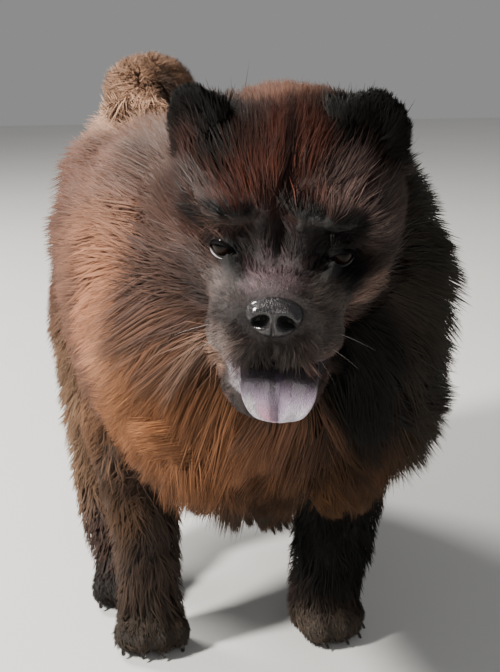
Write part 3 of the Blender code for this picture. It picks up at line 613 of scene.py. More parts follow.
class Wire:
    """A shader socket that adds, takes away and multiplies as a number does."""

    def __init__(self, tree, socket=None):
        self.tree, self.socket = tree, socket

    def node(self, kind, settings=(), inputs=(), output=0):
        made = self.tree.nodes.new(kind)
        for key, value in dict(settings).items():
            setattr(made, key, value)
        for key, value in dict(inputs).items():
            if isinstance(value, Wire):
                self.tree.links.new(value.socket, made.inputs[key])
            else:
                made.inputs[key].default_value = value
        return Wire(self.tree, made.outputs[output])

    def sum(self, operation, *values):
        return self.node("ShaderNodeMath", {"operation": operation}, dict(enumerate(values)))

    def __add__(self, other):
        return self.sum("ADD", self, other)

    def __sub__(self, other):
        return self.sum("SUBTRACT", self, other)

    def __rsub__(self, other):
        return self.sum("SUBTRACT", other, self)

    def __mul__(self, other):
        return self.sum("MULTIPLY", self, other)

    __radd__, __rmul__ = __add__, __mul__

    def range(self, low, high, start=0.0, end=1.0):
        """The value carried from low..high to start..end, and held there."""
        values = {0: self, 1: low, 2: high, 3: start, 4: end}
        return self.node("ShaderNodeMapRange", {"clamp": True}, values)

    def tint(self, low, high):
        """A colour between two, by this value."""
        return self.node("ShaderNodeMix", {"data_type": "RGBA"}, {0: self, 6: low, 7: high}, 2)

    def shade(self, colour):
        """A colour made darker or lighter by this value."""
        grey = self.node("ShaderNodeCombineXYZ", {}, {0: self, 1: self, 2: self})
        mixed = {"data_type": "RGBA", "blend_type": "MULTIPLY"}
        return self.node("ShaderNodeMix", mixed, {0: 1.0, 6: colour, 7: grey}, 2)

    def named(self, name, output=0):
        """A value that the piece's own points carry."""
        return self.node("ShaderNodeAttribute", {"attribute_name": name}, {}, output)

    def own_place(self):
        """Where a point lies in the piece's own axes."""
        return self.node("ShaderNodeTexCoord", {}, {}, 3)

    def grain(self, scale, detail=3.0, place=None, stretch=(1, 1, 1)):
        """Noise in the piece's own axes, or along a vector that its points carry."""
        place = self.node("ShaderNodeMapping", {}, {0: place or self.own_place(), 3: stretch})
        return self.node("ShaderNodeTexNoise", {}, {"Vector": place, "Scale": scale, "Detail": detail})

    def cells(self, scale):
        """Small rounded cells, 0 at the middle of each."""
        return self.node("ShaderNodeTexVoronoi", {}, {"Vector": self.own_place(), "Scale": scale})

    def bump(self, strength, distance):
        """The value as relief, for a shader's normal."""
        relief = {"Strength": strength, "Distance": distance, "Height": self}
        return self.node("ShaderNodeBump", {}, relief)


def finish_named(name, **values):
    """A new material, the wire that starts its patterns, and a call that feeds its shader."""
    material = bpy.data.materials.new(name)
    material.use_nodes = True
    shader = material.node_tree.nodes["Principled BSDF"]

    def feed(**sockets):
        for key, value in sockets.items():
            socket = shader.inputs[key.replace("_", " ")]
            if isinstance(value, Wire):
                material.node_tree.links.new(value.socket, socket)
            else:
                socket.default_value = value

    feed(**values)
    return material, Wire(material.node_tree), feed


def piece(name, mesh, material):
    """A finished piece, riding on the dog's one body."""
    made = put_in(name, mesh)
    mesh.materials.clear()
    mesh.materials.append(material)
    mesh.polygons.foreach_set("use_smooth", np.ones(len(mesh.polygons), bool))
    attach(made, "root")
    return made


hide_skin, wire, feed = finish_named("blue_black_skin")
in_mouth = inside_mouth(skin_at, facing)
set_values(hide_mesh, "mouth", in_mouth)
under_coat_shade = 0.45
set_colours(hide_mesh, "markings_and_painted_light", markings_and_painted_light(skin_at) * under_coat_shade)
lining = wire.grain(160, 3).tint((0.012, 0.009, 0.014, 1), (0.045, 0.020, 0.030, 1))
wet = wire.named("mouth", 2)
fuzz = wire.grain(420, 4)
feed(
    Base_Color=wet.tint(fuzz.range(0.3, 0.7, 0.6, 1.3).shade(wire.named("markings_and_painted_light")), lining),
    Roughness=wet.range(0.3, 0.9, 0.85, 0.28),
    Normal=(fuzz + wire.grain(90, 3) * 0.7).bump(0.6, 0.002),
)
skin = piece("skin", hide_mesh, hide_skin)
under_fur = ["head", "jaw", "ear_left", "ear_right", "neck", "torso", "tail"]
under_fur += [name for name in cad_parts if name.startswith(("foreleg", "thigh", "hock", "paw"))]
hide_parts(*under_fur)

# The eyes. Dark brown balls, nearly filled by the iris, sit deep between narrow almond lids. Each is turned
# as a ball, with the cornea swelling in front. Its iris and pupil are coloured by the angle from the line
# of sight, under a clear, wet front.
cornea_rise, cornea_spread = 0.035, 26
pupil_edge, iris_edge, white_edge = (15, 19), (38, 44), (48, 54)  # degrees from the line of sight
for side, stand in eye_stands.items():
    name = "eye_left" if side > 0 else "eye_right"
    ball = bmesh.new()
    bmesh.ops.create_uvsphere(ball, u_segments=48, v_segments=32, radius=eye_radius)
    ball.transform(Matrix.Rotation(math.radians(90), 4, "X"))
    gaze = Vector((side * 0.22, -0.92, 0.32))
    angles = [math.degrees(vert.co.angle(gaze)) for vert in ball.verts]
    for vert, angle in zip(ball.verts, angles):
        vert.co *= 1 + cornea_rise * math.exp(-((angle / cornea_spread) ** 2))
    ball.transform(stand)
    ball_mesh = closed_mesh(name, ball)
    set_values(ball_mesh, "angle", angles)
    eyeball, wire, feed = finish_named(f"dark_{name}", Roughness=0.05, IOR=1.2)
    angle = wire.named("angle", 2)
    rays = wire.grain(900, 2)
    iris = rays.tint((0.004, 0.002, 0.0012, 1), (0.013, 0.006, 0.003, 1))
    iris = angle.range(*pupil_edge).tint((0.001, 0.001, 0.001, 1), iris)
    white = wire.grain(300, 3).tint((0.030, 0.020, 0.020, 1), (0.016, 0.010, 0.010, 1))
    rim = angle.range(*iris_edge).tint(iris, (0.006, 0.004, 0.004, 1))
    feed(Base_Color=angle.range(*white_edge).tint(rim, white))
    eye = piece(f"{name}_ball", ball_mesh, eyeball)
    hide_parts(name)

# The lids. A padded, hairless black rim lies round each eye, rolled in to meet the ball. Each is a tube bent
# round the opening and closed into a ring, fine-grained, and wet along its lower edge, which is painted pale
# as a painted reflection on the right eye and dim on the left eye as painted shade.
lid_across = [0.96, 0.985, 1.02, 1.09, 1.20, 1.34, 1.50, 1.45, 1.25, 1.02]
lid_out = [0.0002, 0.0008, 0.0012, 0.0014, 0.0013, 0.0009, -0.0003, -0.0020, -0.0018, -0.0010]


def lid(t, turn):
    """Round the opening by turn, and from the lid's edge over its front to its root by t."""
    reach = np.interp(t, np.linspace(0, 1, len(lid_across)), lid_across)
    ball = eye_radius + np.interp(t, np.linspace(0, 1, len(lid_out)), lid_out)
    upper = np.where(np.sin(turn) > 0, 0.95, 1.0)
    x = np.cos(turn) * slit_wide * reach
    z = np.sin(turn) * np.abs(np.sin(turn)) ** 0.35 * slit_high * upper * reach - slit_drop
    flat = np.minimum(np.hypot(x, z), ball * 0.985)
    scale = flat / np.maximum(np.hypot(x, z), 1e-9)
    x, z = x * scale, z * scale
    return np.stack([x, -np.sqrt(ball**2 - x * x - z * z), z], 1)


for side, stand in eye_stands.items():
    name = "left" if side > 0 else "right"
    rims = bmesh.new()
    sleeve(rims, sides=56, rings=20, place=lid)
    caps = [face for face in rims.faces if len(face.verts) > 4]
    ends = [edge for face in caps for edge in face.edges]
    bmesh.ops.delete(rims, geom=caps, context="FACES_ONLY")
    bmesh.ops.bridge_loops(rims, edges=ends)
    local = np.array([vert.co for vert in rims.verts])
    near = np.hypot(local[:, 0] / slit_wide, (local[:, 2] + slit_drop) / slit_high)
    rims.transform(stand)
    lid_mesh = closed_mesh(f"lids_{name}", rims)
    wet_rim_and_painted_reflection = (1 - ease(1.05, 1.20, near)) * (1 - ease(-0.005, -0.002, local[:, 2]))
    set_values(lid_mesh, "wet", wet_rim_and_painted_reflection)
    lid_skin, wire, feed = finish_named(f"lid_skin_{name}", Specular_IOR_Level=0.05, Coat_Roughness=0.06)
    wet = wire.named("wet", 2)
    # the lower rim painted pale as a painted reflection on the right eye, and dim on the left eye as painted
    # shade
    painted_rim_reflection, wetness = ((0.55, 0.50, 0.51, 1), 1.0) if side < 0 else ((0.05, 0.045, 0.045, 1), 0.2)
    feed(
        Base_Color=wet.tint((0.003, 0.0026, 0.003, 1), painted_rim_reflection),
        Roughness=wet.range(0, 1, 0.6, 0.12),
        Coat_Weight=wet * wetness,
        Normal=wire.cells(1600).bump(0.35, 0.0006),
    )
    piece(f"lids_{name}", lid_mesh, lid_skin)

# The nose leather. It is broad, black and pebbled, with flared comma nostrils and a cleft that runs down to
# the lip. One ball is pressed into its shape, and stands in the tip of the muzzle.
leather_at = on_head @ Matrix.Translation((0, -0.079, -0.019))
half_wide, half_deep, half_above, half_below = 0.0203, 0.0128, 0.0140, 0.0153
leather = bmesh.new()
bmesh.ops.create_icosphere(leather, subdivisions=6, radius=1)
x, y, z = np.array([vert.co for vert in leather.verts]).T
taper = 1 - 0.24 * ease(0.0, -0.95, z) + 0.03 * ease(0.2, 0.9, z)
high = np.where(z > 0, np.abs(z) ** 0.82 * half_above, -np.abs(z) * half_below)
shape = np.stack([np.sign(x) * np.abs(x) ** 0.85 * half_wide * taper, y * half_deep, high], 1)
front = ease(0.2, -0.4, y)[:, None]
hollow = np.zeros(len(shape))
for side in (-1, 1):
    # the nostril, the slit that curls out from it, and the wing above them
    outward, upward = shape[:, 0] * side - 0.0088, shape[:, 2] + 0.0004
    along, beside = outward * 0.80 - upward * 0.60, outward * 0.60 + upward * 0.80
    hole = np.exp(-((along / 0.0052) ** 2) - (beside / 0.0036) ** 2)
    comma = np.exp(-(((along - 0.0060) / 0.0044) ** 2) - ((beside + 0.0004) / 0.0013) ** 2)
    wing = bump_at(shape, (side * 0.0140, -0.0105, 0.0022), (0.0044, 0.010, 0.0040))[:, None]
    # how deep in the nostril, where the leather is painted near-black as painted shade
    dark = np.clip(np.maximum(hole * 1.7, comma) * 1.4 - 0.4, 0, 1) * front[:, 0]
    hollow = np.maximum(hollow, dark)
    dent = np.clip(hole * 1.7, 0, 1)[:, None] * (side * -0.0005, 0.0090, 0.0006)
    dent = dent + comma[:, None] * (0, 0.0036, 0)
    shape = shape + front * (dent + wing * (side * 0.0010, -0.0014, 0))
cleft = bump_at(shape, (0, -0.0125, -0.006), (0.0012, 0.012, 0.0085))[:, None]
shape = shape + front * cleft * (0, 0.0026, 0)
for vert, spot in zip(leather.verts, shape):
    vert.co = spot
leather.transform(leather_at)
nose_mesh = closed_mesh("nose_leather", leather)
set_values(nose_mesh, "hollow", hollow)
nose_finish, wire, feed = finish_named("wet_nose_leather", Specular_IOR_Level=0.25, Coat_Roughness=0.10)
hollow = wire.named("hollow", 2)
pebbles = wire.cells(850)
mottle = (wire.grain(70, 2) * 0.6 + pebbles * 0.8).range(0.2, 0.9)
tone = mottle.tint((0.003, 0.0026, 0.0030, 1), (0.013, 0.011, 0.013, 1))
feed(
    # the nostrils painted near-black, as painted shade in their hollows
    Base_Color=hollow.tint(tone, (0.0008, 0.0006, 0.0006, 1)),
    Coat_Weight=hollow.range(0, 0.5, 0.6, 0.0),
    Roughness=wire.grain(120, 2).range(0.3, 0.7, 0.26, 0.42) + hollow * 0.5,
    Normal=(1 - pebbles + wire.grain(300, 3) * 1.2).bump(0.8, 0.0011),
)
nose = piece("nose_pad", nose_mesh, nose_finish)
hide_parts("nose")

# The tongue. It is lilac over blue-black, wet, grooved down its middle, and hung over the lower lip. It is
# lofted, its edge curls up a little, and its surface is fine papillae.
tongue_form = Form(
    [
        (x, y, z, r, 0, 0, -math.radians(way), 0)
        for x, y, z, r, way in (
            (0.0000, 0.020, -0.0660, 0.016, 0),
            (0.0015, 0.000, -0.0640, 0.022, 0),
            (0.0030, -0.030, -0.0640, 0.027, -4),
            (0.0045, -0.058, -0.0650, 0.0285, 8),
            (0.0060, -0.076, -0.0690, 0.028, 35),
            (0.0065, -0.084, -0.0780, 0.0265, 65),
            (0.0065, -0.087, -0.0880, 0.0215, 80),
            (0.0065, -0.087, -0.0940, 0.0150, 85),
            (0.0065, -0.087, -0.0970, 0.0050, 88),
        )
    ]
)
tongue_rows, half_thick = [], 0.0034


def tongue_surface(t, turn):
    """The loft, with its top sunk along the middle, its sides raised, and its sides' corners rounded."""
    x, y, z, wide, _, _, lean, _ = tongue_form.at(t).T
    across, rise = np.cos(turn), np.sin(turn)
    side = np.sign(across) * np.abs(across) ** 0.9 * wide
    share = side / wide
    thick = rise * half_thick * np.where(np.abs(share) > 0.8, 1.05, 1)
    groove = 0.0022 * np.exp(-((share / 0.16) ** 2)) * (rise > 0) * (1 - ease(0.82, 0.98, t))
    curl = (0.0030 * share**2 - 0.0006 * np.cos(share * 9)) * (1 - 0.8 * ease(0.85, 1.0, t))
    waves = 0.0006 * np.sin(t * 17 + share * 2)
    lift = thick - groove + curl + waves
    local = np.stack([x + side, y + lift * np.sin(lean), z + lift * np.cos(lean)], 1)
    tongue_rows.extend([t, share])
    return carried(on_head, local)


tongue_made = bmesh.new()
sleeve(tongue_made, sides=64, rings=70, place=tongue_surface)
tongue_mesh = closed_mesh("tongue", tongue_made)
along, aside = tongue_rows
hue = np.tile(paint(40, 28, 40), (len(along), 1))
# the blade, pale below and left dark above as painted shade under the lip over its own blue-black, its pink
# right side, the bright right edge as a painted highlight, the dark groove, and the pale left half as painted
# light
for shown, tone in (
    (ease(0.52, 0.70, along), (160, 142, 164)),
    (np.exp(-(((aside + 0.45) / 0.34) ** 2)) * ease(0.60, 0.84, along) * 0.85, (196, 132, 156)),
    (np.exp(-(((aside + 0.84) / 0.12) ** 2)) * ease(0.60, 0.70, along) * 0.8, (238, 236, 240)),
    (np.exp(-((aside / 0.10) ** 2)) * (1 - ease(0.85, 1.0, along)) * 0.7, (96, 82, 102)),
    (ease(0.12, 0.40, aside) * ease(0.62, 0.76, along) * 0.85, (206, 198, 212)),
):
    hue = hue * (1 - shown[:, None]) + paint(*tone) * shown[:, None]
set_colours(tongue_mesh, "markings_and_painted_light", hue)
tongue_skin, wire, feed = finish_named("wet_tongue", Coat_Weight=1.0, Coat_Roughness=0.10)
bristle = wire.cells(1300)
mottle = wire.grain(240, 4) + bristle * 0.5
feed(
    Base_Color=mottle.range(0.35, 1.1, 0.72, 1.12).shade(wire.named("markings_and_painted_light")),
    Roughness=wire.grain(300, 3).range(0.3, 0.7, 0.30, 0.50),
    Subsurface_Weight=0.12,
    Subsurface_Radius=(0.004, 0.0018, 0.0018),
    Subsurface_Scale=1.0,
    Normal=(1 - bristle + wire.grain(420, 3) * 1.6).bump(0.9, 0.0016),
)
tongue = piece("tongue_wet", tongue_mesh, tongue_skin)
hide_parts("tongue")

# The claws. Sixteen short, blunt, curved claws of dark horn, one to a toe. Each is a bent, tapered loft
# that is rooted in the front of its toe.
claw_made = bmesh.new()
for stand in paw_stands.values():
    for spread, reach in toe_reaches.items():
        root = (spread * toe_step * 1.06, reach - 0.0095, -0.003)
        bend = Form(
            [
                (0, 0.006, 0.0130, 0.0030, 0.0032, 0.0032, 0, 0),
                (0, 0.001, 0.0130, 0.0028, 0.0030, 0.0030, 0, 0),
                (0, -0.003, 0.0118, 0.0023, 0.0026, 0.0026, 0.3, 0),
                (0, -0.0055, 0.0098, 0.0016, 0.0018, 0.0018, 0.7, 0),
                (0, -0.0065, 0.0080, 0.0007, 0.0008, 0.0008, 1.0, 0),
            ],
            squareness=2,
            matrix=stand @ Matrix.Translation(root),
        )
        sleeve(claw_made, sides=12, rings=16, place=bend.surface)
claw_mesh = closed_mesh("claws", claw_made, alike=True)
horn, wire, feed = finish_named("dark_horn", Coat_Weight=0.2)
flecks = wire.grain(500, 3).range(0.3, 0.7)
feed(
    Base_Color=flecks.tint((0.006, 0.005, 0.005, 1), (0.022, 0.018, 0.016, 1)),
    Roughness=wire.grain(900, 2).range(0.3, 0.7, 0.35, 0.55),
    Normal=wire.grain(400, 2, stretch=(1, 0.2, 1)).bump(0.3, 0.0005),
)
piece("claws", claw_mesh, horn)

# The coat. It is made of tufts of fur, thin closed blades that root in the skin, rise, bend over and gather
# in clumps. How deep it is, which way it lies, how steeply it stands, how far it droops and how hard it
# clumps are read off the nearest body part for all of the skin, and smoothed over the seams.
sampled = [part.samples() for part in body_parts]
sample_part = np.repeat(range(len(sampled)), [len(group[0]) for group in sampled])
sample_at, sample_coat, sample_around = (np.concatenate(values) for values in zip(*sampled))
nearest_part = KDTree(len(sample_at))
for number, spot in enumerate(sample_at):
    nearest_part.insert(spot, number)
nearest_part.balance()


def samples_near(places):
    return np.array([nearest_part.find(spot)[1] for spot in places])


def unit(vectors):
    return vectors / np.maximum(np.linalg.norm(vectors, axis=-1, keepdims=True), 1e-9)


dog_at, head_at = carried(off_dog, skin_at), carried(off_head, skin_at)
nearest = samples_near(skin_at)
part_of, depth = sample_part[nearest], sample_coat[nearest]
first_ear, first_paw = body_parts.index(ears[0]), body_parts.index(paws[0])
is_ear, is_paw = (part_of >= first_ear) & (part_of < first_paw), part_of >= first_paw
head_axes = np.array(on_head.to_3x3()).T
# on the skull and jaw the hair fans out from the nose, and farther back from behind the eyes
fan_from = np.zeros_like(head_at)
fan_from[:, 1], fan_from[:, 2] = -0.088 + 0.11 * ease(-0.01, 0.06, head_at[:, 1]), -0.02
head_out = unit(head_at - fan_from) @ head_axes
face_out = unit(head_at - (0, 0.035, -0.01)) @ head_axes
# the ruff stands out round the face, and on the chest it hangs
chest = 1 - ease(0.25, 0.37, dog_at[:, 2])
hang = dog_at * (1.7, 0, 0) + (0, 0.10, -1.0)
ruff_lie = unit(face_out + (0, 0.30, -0.10)) * (1 - chest[:, None]) + unit(hang) * chest[:, None]
rump = ease(0.34, 0.46, dog_at[:, 1])[:, None]
trunk_lie = np.array([[0, 1.0, -0.35]]) * (1 - rump) + np.array([[0, 0.45, -1.0]]) * rump
tail_line = carried(on_dog, tail.at(np.linspace(0, 1, 30))[:, :3])
tail_row = np.argmin(((skin_at[:, None] - tail_line) ** 2).sum(2), 1)
tail_lie = unit(np.gradient(tail_line, axis=0))[tail_row] + unit(skin_at - tail_line[tail_row]) * 0.5
ear_lie = np.zeros_like(skin_at)
for side, stand in ear_stands.items():
    spot = carried(stand.inverted(), skin_at)
    mine = is_ear & (head_at[:, 0] * side > 0)
    rise = unit(spot / (0.034, 0.05, 0.045) + (0, 0, 0.8))
    ear_lie[mine] = (rise @ np.array(stand.to_3x3()).T)[mine]
plush = 18 + 36 * ease(0.020, 0.090, head_at[:, 1])
mane = ease(-0.05, -0.12, dog_at[:, 1]) * (1 - chest)
# each part's lie, its stand in degrees, its droop, and how hard its wisps gather
lies = {
    trunk: (trunk_lie, 44, 0.12, 0.42),
    neck: (ruff_lie, 54 - 20 * mane + 10 * chest, 0.14 + 0.06 * chest, 0.50 + 0.25 * chest),
    tail: (tail_lie, 40, 0.0, 0.25),
    skull: (head_out, plush, 0.0, 0.30),
    jaw: (head_out, 28, 0.10, 0.40),
    hock_right: ((0, 0.0, -1), 26, 0.0, 0.40),
    hock_left: ((0, 0.1, -1), 26, 0.0, 0.40),
}
lies |= {part: ((0, 0.25, -1), 30, 0.0, 0.35) for part in (foreleg_right, foreleg_left)}
lies |= {part: ((0, 0.45, -1), 40, 0.05, 0.42) for part in (thigh_right, thigh_left)}
lies |= {part: (ear_lie, 42, 0.0, 0.30) for part in ears}
paw_lie = ((0, -1, -0.7), 24, 0.0, 0.2)
lie, manner = np.zeros_like(skin_at), np.zeros((len(skin_at), 3))
for number, part in enumerate(body_parts):
    way, *rest = lies.get(part, paw_lie)
    mine = part_of == number
    lie[mine] = np.broadcast_to(np.asarray(way, float), skin_at.shape)[mine]
    manner[mine] = np.stack([np.broadcast_to(value, len(skin_at)) for value in rest], 1)[mine]
lie = unit(lie)
links = np.bincount(edges.ravel(), minlength=len(skin_at))[:, None]


def spread_out(values, rounds):
    """Shares each point's values with its neighbours on the skin."""
    for _ in range(rounds):
        total = [
            np.bincount(edges[:, 0], values[edges[:, 1], k], len(values))
            + np.bincount(edges[:, 1], values[edges[:, 0], k], len(values))
            for k in range(values.shape[1])
        ]
        values = values * 0.4 + 0.6 * np.stack(total, 1) / links
    return values


def soft_share(mine):
    """How far each point belongs to the chosen part of the skin, softened at the part's edge."""
    return spread_out(mine.astype(float)[:, None], 8)[:, 0]


fields = [depth[:, None], lie, manner, is_ear[:, None], is_paw[:, None]]
fields = spread_out(np.concatenate(fields, 1), 24)
depth, lie, manner = fields[:, 0], unit(fields[:, 1:4]), fields[:, 4:7]
ear_share, paw_share = ease(0.3, 0.7, fields[:, 7]), ease(0.3, 0.7, fields[:, 8])
on_muzzle = ease(0.030, -0.005, head_at[:, 1]) * ease(-0.13, -0.11, head_at[:, 2])
on_muzzle = on_muzzle * (np.abs(head_at[:, 0]) < 0.1)
close = np.minimum(depth, 0.0024 + 0.016 * ease(-0.02, 0.03, head_at[:, 1]))
depth = depth * (1 - on_muzzle) + close * on_muzzle
head_share = soft_share(np.isin(part_of, [body_parts.index(skull), body_parts.index(jaw)]))
# no hair grows in the mouth, at the eyes, under the nose leather or under the soles
bare = in_mouth.copy()
for stand in eye_stands.values():
    bare = np.maximum(bare, 1 - ease(1.10, 1.30, from_slit(stand, skin_at)[0]))
off_leather = leather_at.inverted()
nose_spot = carried(off_leather, skin_at) / (0.0205, 0.0135, 0.0158)
bare = np.maximum(bare, np.linalg.norm(nose_spot, axis=1) < 1.0)
bare = np.maximum(bare, dog_at[:, 2] < 0.004)
chance = np.random.default_rng(27)
first, second, third = (skin_at[skin_faces[:, k]] for k in range(3))
face_areas = np.linalg.norm(np.cross(second - first, third - first), axis=1) / 2


def swing(places, size, seed):
    """A smooth random sway that neighbouring tufts share, one wave in each size or so."""
    waves = np.random.default_rng(seed)
    total = np.zeros((len(places), 3))
    for _ in range(5):
        turn = places @ (unit(waves.normal(size=3)) * 2 * math.pi / (size * waves.uniform(0.6, 1.6)))
        total += np.sin(turn + waves.uniform(0, 6.3))[:, None] * waves.normal(size=3)
    return total / 3


# the coat's outline, where tufts end, and how far the solids' box lets them reach
tips_mesh = melted(sunk=0, voxel=0.007, smoothing=2)
tips_mesh.calc_loop_triangles()
tips_faces = [tri.vertices[:] for tri in tips_mesh.loop_triangles]
tips_outline = BVHTree.FromPolygons([vert.co for vert in tips_mesh.vertices], tips_faces)
least = np.array(solid_box[0]) - (0.008, 0.008, -0.001)
most = np.array(solid_box[1]) + 0.008
# a blade: its root, a ring of three half-way along, and its tip
blade_steps, blade_turns = np.array([0, 0.5, 1.0]), np.radians([90, 210, 330])
blade_along, blade_around = np.array([0, 0.5, 0.5, 0.5, 1.0]), np.array([1.0, 0, 1, 2, 1])
blade_faces = np.array([(0, 2, 1), (0, 3, 2), (0, 1, 3), (1, 2, 4), (2, 3, 4), (3, 1, 4)])
root_depth, up = 0.0012, np.array([0, 0, 1.0])


def clear_of_face(line):
    """Which tufts keep out of the eyes, the nose leather and the mouth, at their middle and their tip."""
    keep = np.ones(len(line), bool)
    for places in (line[:, 1], line[:, 2]):
        for stand in eye_stands.values():
            near, spot = from_slit(stand, places)
            keep &= (near > 1.15) | (np.linalg.norm(spot, axis=1) > 0.03)
        nose_spot = carried(off_leather, places) / (0.0200, 0.0135, 0.0150)
        keep &= np.linalg.norm(nose_spot, axis=1) > 1
        x, y, z = carried(off_head, places).T
        keep &= ~((np.abs(x) < 0.026) & (y < -0.03) & between(-0.098, z, -0.066))
    return keep


def coat(name, slot, material, where, tufts, width, **manners):
    """A piece of the coat: tufts rooted by the skin's share, each as long as it takes to reach the outline.

    Its manners are the tone from root to tip, darker at the root as painted shade deep in the coat and partly
    the hair's own darker roots, and how fast it fades, how far tufts reach and how long they may be, the
    sizes of wisps and locks and how hard these bunch, and how much tufts curl, stray and vary.
    """
    way_of = {"tone": (0.66, 1.16), "reach": (0.84, 1.06), "wisp": 0.009, "lock": 0.028}
    way_of |= {"curl": 0.10, "longest": 0.085, "vary": 1.0, "bunch": 0.30, "stray": 1.0, "fade": 0.8}
    way_of |= manners
    share = np.clip(where, 0, 1) * (1 - bare)
    weights = share[skin_faces].mean(1) * face_areas
    total = weights.cumsum() / weights.sum() * tufts
    chosen = np.searchsorted(total, np.arange(tufts) + chance.random(tufts))
    chosen = np.minimum(chosen, len(skin_faces) - 1)
    a, b = np.sqrt(chance.random(tufts)), chance.random(tufts)
    corners = np.stack([1 - a, a * (1 - b), a * b], 1)

    def here(values):
        shares = corners[..., None] if values.ndim > 1 else corners
        return (values[skin_faces[chosen]] * shares).sum(1)

    root, out, way = here(skin_at), unit(here(facing)), here(lie)

    def groups(size):
        """Each tuft's leader, in groups about that far apart, and the draw that its group shares."""
        leaders = np.flatnonzero(chance.random(tufts) < weights.sum() / size**2 / tufts)
        herd = KDTree(len(leaders))
        for number, leader in enumerate(leaders):
            herd.insert(root[leader], number)
        herd.balance()
        mine = leaders[np.array([herd.find(spot)[1] for spot in root])]
        return mine, chance.normal(size=(tufts, 4))[mine]

    wisp, wisp_draw = groups(way_of["wisp"])
    lock, lock_draw = groups(way_of["lock"])
    deep = np.maximum(here(depth), 0.0025)
    stand, droop, gather = here(manner).T
    way = unit(way - out * (way * out).sum(1)[:, None])
    sway = swing(root, 0.06, 5) * 0.20 + chance.normal(size=root.shape) * 0.13
    way = unit(way + (sway + lock_draw[:, :3] * 0.13 + wisp_draw[:, :3] * 0.08) * way_of["stray"])
    steep = np.radians(stand + chance.normal(0, 6, tufts) + lock_draw[:, 3] * 4)
    rise, flat = np.sin(steep), np.cos(steep)
    bend = 0.22 * rise
    length = deep / np.maximum(rise - bend, 0.15)
    across = np.cross(out, way)
    curl = (chance.normal(0, 0.5, tufts) + wisp_draw[:, 0] + lock_draw[:, 0] * 1.2) * way_of["curl"]
    reached = way * flat[:, None] + out * (rise - bend)[:, None] - up * droop[:, None]
    reached += across * curl[:, None]
    # its length, by the nearest of the outline, its own limit and the box
    full = np.linalg.norm(reached, axis=1)
    hits = [tips_outline.ray_cast(Vector(a), Vector(b))[3] for a, b in zip(root, reached)]
    open_way = np.array([9.0 if hit is None else hit for hit in hits]) / full
    length = np.minimum(length, way_of["longest"])
    length = np.clip(open_way, 0.35 * length, 1.3 * length) * chance.uniform(*way_of["reach"], tufts)
    length *= 1 + 0.05 * lock_draw[:, 1] + 0.03 * wisp_draw[:, 1]
    space = np.where(reached > 0, most - root, least - root)
    space = space / np.where(np.abs(reached) < 1e-6, 1e-6, reached)
    length = np.clip(length, 0.002, np.maximum(space.min(1), 0.004))[:, None]
    line = []
    for s in blade_steps:
        spot = way * (flat * s)[:, None] + out * (rise * s - bend * s * s)[:, None]
        spot = spot + across * (curl * s * s)[:, None] - up * (droop * s * s)[:, None]
        line.append(root - out * root_depth + spot * length)
    line = np.stack(line, 1)
    for leader, pull, bend_in in (
        (lock, way_of["bunch"] * gather, 1.2),
        (wisp, gather * chance.uniform(0.5, 1.1, tufts) * np.exp(0.2 * wisp_draw[:, 2]), 1.4),
    ):
        pulled = np.clip(pull, 0, 0.92)[:, None] * blade_steps**bend_in
        line += (line[leader] - line) * pulled[..., None]
    ahead = unit(line[:, -1] - line[:, 0])
    aside = unit(np.cross(out, ahead))
    upward = np.cross(ahead, aside)
    spin = chance.uniform(-0.5, 0.5, tufts)[:, None]
    leaned = aside * np.cos(spin) + upward * np.sin(spin)
    raised = upward * np.cos(spin) - aside * np.sin(spin)
    wide = width * chance.uniform(0.6, 1.3, tufts) * np.clip(length[:, 0] / np.median(length), 0.65, 1.2)
    keep = clear_of_face(line)
    turned = leaned[:, None] * np.cos(blade_turns)[:, None]
    turned = turned + raised[:, None] * np.sin(blade_turns)[:, None] * 0.6
    middles = line[:, 1, None] + turned * (wide / 2)[:, None, None]
    points = np.concatenate([line[:, :1], middles, line[:, -1:]], 1)[keep]
    tip_normals = unit(out + ahead * 0.3)[:, None]
    normals = np.concatenate([out[:, None], unit(turned * 0.45 + out[:, None]), tip_normals], 1)[keep]
    count, each = points.shape[:2]
    corners_of = (np.arange(count)[:, None, None] * each + blade_faces).reshape(-1)
    mesh = bpy.data.meshes.new(name)
    mesh.vertices.add(count * each)
    mesh.vertices.foreach_set("co", points.astype(np.float32).ravel())
    mesh.loops.add(len(corners_of))
    mesh.loops.foreach_set("vertex_index", corners_of.astype(np.int32))
    mesh.polygons.add(len(corners_of) // 3)
    mesh.polygons.foreach_set("loop_start", np.arange(0, len(corners_of), 3, dtype=np.int32))
    mesh.update(calc_edges=True)
    seeds = chance.random(count)[:, None]
    strand = np.stack(np.broadcast_arrays(blade_around + seeds * 97, blade_along, seeds), 2)
    set_values(mesh, "strand", strand, "FLOAT_VECTOR")
    # tufts darker towards the edge of their lock, as painted shade between the locks
    edge = np.linalg.norm(root - root[lock], axis=1) / way_of["lock"]
    light = 0.12 * lock_draw[:, 2] + 0.07 * wisp_draw[:, 3] + chance.normal(0, 0.10, tufts)
    light = light - 0.30 * (edge - 0.4) + 0.12 * swing(root, 0.07, 9)[:, 0]
    base = markings_and_painted_light(line[keep][:, [0, -1]].mean(1)) * np.exp(light * way_of["vary"])[keep, None]
    warm = 1 + (seeds - 0.5) * np.array([0.10, 0.0, -0.10])
    # each tuft darker at its root, as painted shade deep in the coat, partly the hair's own darker roots
    dark, bright = way_of["tone"]
    shading = dark + (bright - dark) * blade_along ** way_of["fade"]
    set_colours(mesh, "markings_and_painted_light", ((base * warm)[:, None] * shading[:, None]).reshape(-1, 3))
